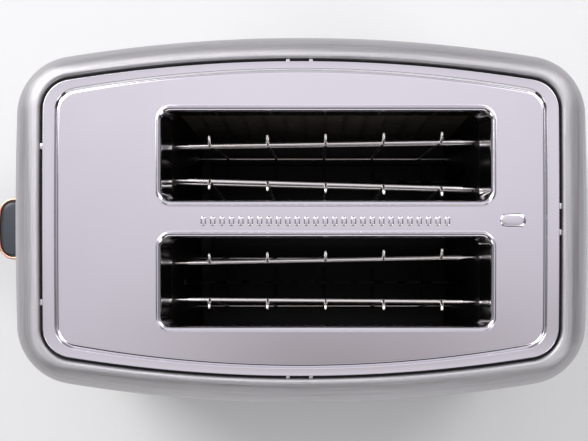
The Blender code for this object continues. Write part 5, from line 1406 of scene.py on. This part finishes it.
def redress_works():
    # The end plates and reflectors take the near-black chamber steel, whose darkness is partly painted shade.
    redress("chamber", "lever_end_plate", "rear_end_plate", "reflector_front", "reflector_back")
    redress("mica", "heater_board_front", "heater_board_middle", "heater_board_back")
    redress("alloy", "heater_ribbon_front", "heater_ribbon_middle", "heater_ribbon_back")
    redress("works", "carriage", "guide_post_front", "guide_post_back", "post_bridge", "latch_keeper",
            "magnet_core", "dial_shaft")
    redress("winding", "magnet_coil")
    redress("circuit", "circuit_board")
    redress("black", "potentiometer", "terminal_block", "switch_defrost", "switch_reheat", "switch_cancel")
    redress("live", "lead_live")
    redress("neutral", "lead_neutral")


# Studio

LIGHT_TARGET = Vector((MIDDLE_X, 0.0, 0.15))
LIGHT_DISTANCE = 1.6
# The floor reaches this far each way
FLOOR_REACH = 3.0
# The camera looks straight down, and its shifts bring the body into the photograph's frame
CAMERA_LENS = 72.0
CAMERA_SENSOR_WIDTH = 36.0
CAMERA_SHIFT_X = -0.0374
CAMERA_SHIFT_Y = 0.108
CAMERA_CLIP_START = 0.01
CAMERA_PLACE = (20.1 * MM, -31.2 * MM, 749.4 * MM)
# Each light: its bearing from +X and its rise in degrees, its width and height, its strength per area
LIGHTS = (
    ("back left", 139, 40, 0.75, 1.6, 5.4),
    ("back right", 42, 40, 0.6, 1.6, 2.7),
    ("front right", -36, 40, 0.5, 1.5, 2.4),
    ("front left", 207, 40, 0.5, 1.4, 1.9),
    ("front", 270, 14, 1.6, 0.6, 1.2),
)


def add_light(name, turn, rise, width, height, strength):
    """A soft panel at a bearing round the body and a rise above it, turned to face it."""
    data = bpy.data.lights.new(name, "AREA")
    data.shape = "RECTANGLE"
    data.size = width
    data.size_y = height
    data.energy = strength * math.pi * width * height
    light = bpy.data.objects.new(name, data)
    bearing, rise = math.radians(turn), math.radians(rise)
    way = Vector((math.cos(bearing) * math.cos(rise), math.sin(bearing) * math.cos(rise), math.sin(rise)))
    light.location = LIGHT_TARGET + way * LIGHT_DISTANCE
    light.rotation_mode = "QUATERNION"
    light.rotation_quaternion = way.to_track_quat("Z", "Y")
    bpy.context.scene.collection.objects.link(light)


def light_air(world):
    """Surroundings that grow brighter towards one side overhead, with one dim patch straight above.

    Slopes are the way's x and y over its z, as a mirror that lies level would show them. The
    patch fades as exp(-r^2), where r is the distance from its middle in half widths.
    """
    world.use_nodes = True
    air = Nodes(world.node_tree)
    x, y, z = air.parts(air.place())
    height = air.math("MAXIMUM", z, 0.08)
    slope_x = air.math("MINIMUM", air.math("MAXIMUM", x / height, -0.5), 0.5)
    slope_y = air.math("MINIMUM", air.math("MAXIMUM", y / height, -0.35), 0.35)
    patch = ((slope_x - 0.02) / 0.17) ** 2 + ((slope_y + 0.09) / 0.11) ** 2
    patch = air.math("EXPONENT", patch * -1)
    light = 0.83 + slope_y * 0.5 - slope_x * slope_x * 2.2 - patch * 0.41
    low_air = air.ramp(z, (0.0, 0.50), (0.10, 0.68), (0.24, 0.95), (0.45, 0.84), (0.72, 0.60), (0.93, 1.0))
    near_side = air.ramp(y + z * 0.6, (-0.75, 0.12), (-0.30, 1.0))
    tone = air.mix(patch, (1.0, 0.97, 1.04, 1.0), (1.0, 0.90, 0.93, 1.0))
    air.feed(world.node_tree.nodes["Background"].inputs["Color"], tone)
    air.feed(world.node_tree.nodes["Background"].inputs["Strength"], light * low_air * near_side)


def make_stage():
    """Pale floor, even surroundings, soft lights on the diagonals and the camera over the slots."""
    reach = FLOOR_REACH
    points = np.array([(-reach, -reach, 0), (reach, -reach, 0), (reach, reach, 0), (-reach, reach, 0)], float)
    floor = add_mesh("studio_floor", (points, [[0, 1, 2, 3]]), finish_named("floor"))
    scene = bpy.context.scene
    scene.world = bpy.data.worlds.new("studio")
    light_air(scene.world)
    scene.view_settings.view_transform = "Standard"
    for name, turn, rise, width, height, strength in LIGHTS:
        add_light(name, turn, rise, width, height, strength)
    camera = bpy.data.cameras.new("over_slots")
    camera.lens = CAMERA_LENS
    camera.sensor_width = CAMERA_SENSOR_WIDTH
    camera.shift_x = CAMERA_SHIFT_X
    camera.shift_y = CAMERA_SHIFT_Y
    camera.clip_start = CAMERA_CLIP_START
    eye = bpy.data.objects.new("over_slots", camera)
    eye.location = CAMERA_PLACE
    scene.collection.objects.link(eye)
    scene.camera = eye


OPERATORS = []


def operator(name, label, note, make):
    """Declare the operator class of one piece or group of pieces."""
    def execute(self, context):
        make()
        return {"FINISHED"}
    made = type(f"TOASTER_OT_{name}", (bpy.types.Operator,), {
        "__doc__": note,
        "bl_idname": f"toaster.{name}",
        "bl_label": label,
        "bl_options": {"REGISTER", "UNDO"},
        "execute": execute,
    })
    OPERATORS.append(made)


operator("stage", "Studio", "Lay the floor, hang the lights and place the camera", make_stage)
operator("sleeve", "Sleeve", "Build the brushed sleeve", make_sleeve)
operator("top_plate", "Top plate", "Build the polished plate, its slots and raised bars", make_top_plate)
operator("top_frame", "Top frame", "Build the black ring under the plate", make_top_frame)
operator("guides", "Bread guides", "Build the four wire guides", make_guides)
operator("racks", "Bread racks", "Build the two racks", make_racks)
operator("spring", "Return spring", "Build the coiled spring", make_spring)
operator("lever", "Lever", "Build the lever arm, knob and trim", make_lever)
operator("panel", "Control panel", "Build the panel and its marks", make_control_panel)
operator("buttons", "Buttons", "Build the three buttons", make_buttons)
operator("dial", "Browning dial", "Build the dial, its pointer and ring", make_dial)
operator("base", "Base", "Build the plastic tub", make_base)
operator("feet", "Feet", "Build the rubber feet", make_feet)
operator("screws", "Screws", "Build the base screws", make_screws)
operator("tray", "Crumb tray", "Finish the tray and build its handle", make_tray)
operator("inlet", "Cord gland", "Build the cord gland", make_inlet)
operator("works", "Works", "Finish the pieces inside the body", redress_works)


class TOASTER_PT_build(bpy.types.Panel):
    """Buttons that build the toaster piece by piece, and its settings"""

    bl_label = "Toaster"
    bl_idname = "TOASTER_PT_build"
    bl_space_type = "VIEW_3D"
    bl_region_type = "UI"
    bl_category = "Toaster"

    def draw(self, context):
        for made in OPERATORS:
            self.layout.operator(made.bl_idname)
        for name, group in SETTINGS.items():
            box = self.layout.box()
            box.label(text=group.__name__)
            for entry in group.__annotations__:
                box.prop(getattr(context.scene, name), entry)


def register():
    for group in SETTINGS.values():
        bpy.utils.register_class(group)
    for name, group in SETTINGS.items():
        setattr(bpy.types.Scene, name, PointerProperty(type=group))
    for made in OPERATORS:
        bpy.utils.register_class(made)
    bpy.utils.register_class(TOASTER_PT_build)


def unregister():
    bpy.utils.unregister_class(TOASTER_PT_build)
    for made in reversed(OPERATORS):
        bpy.utils.unregister_class(made)
    for name, group in SETTINGS.items():
        delattr(bpy.types.Scene, name)
        bpy.utils.unregister_class(group)


def main():
    register()
    for made in OPERATORS:
        group, name = made.bl_idname.split(".")
        getattr(getattr(bpy.ops, group), name)()


if __name__ == "__main__":
    main()
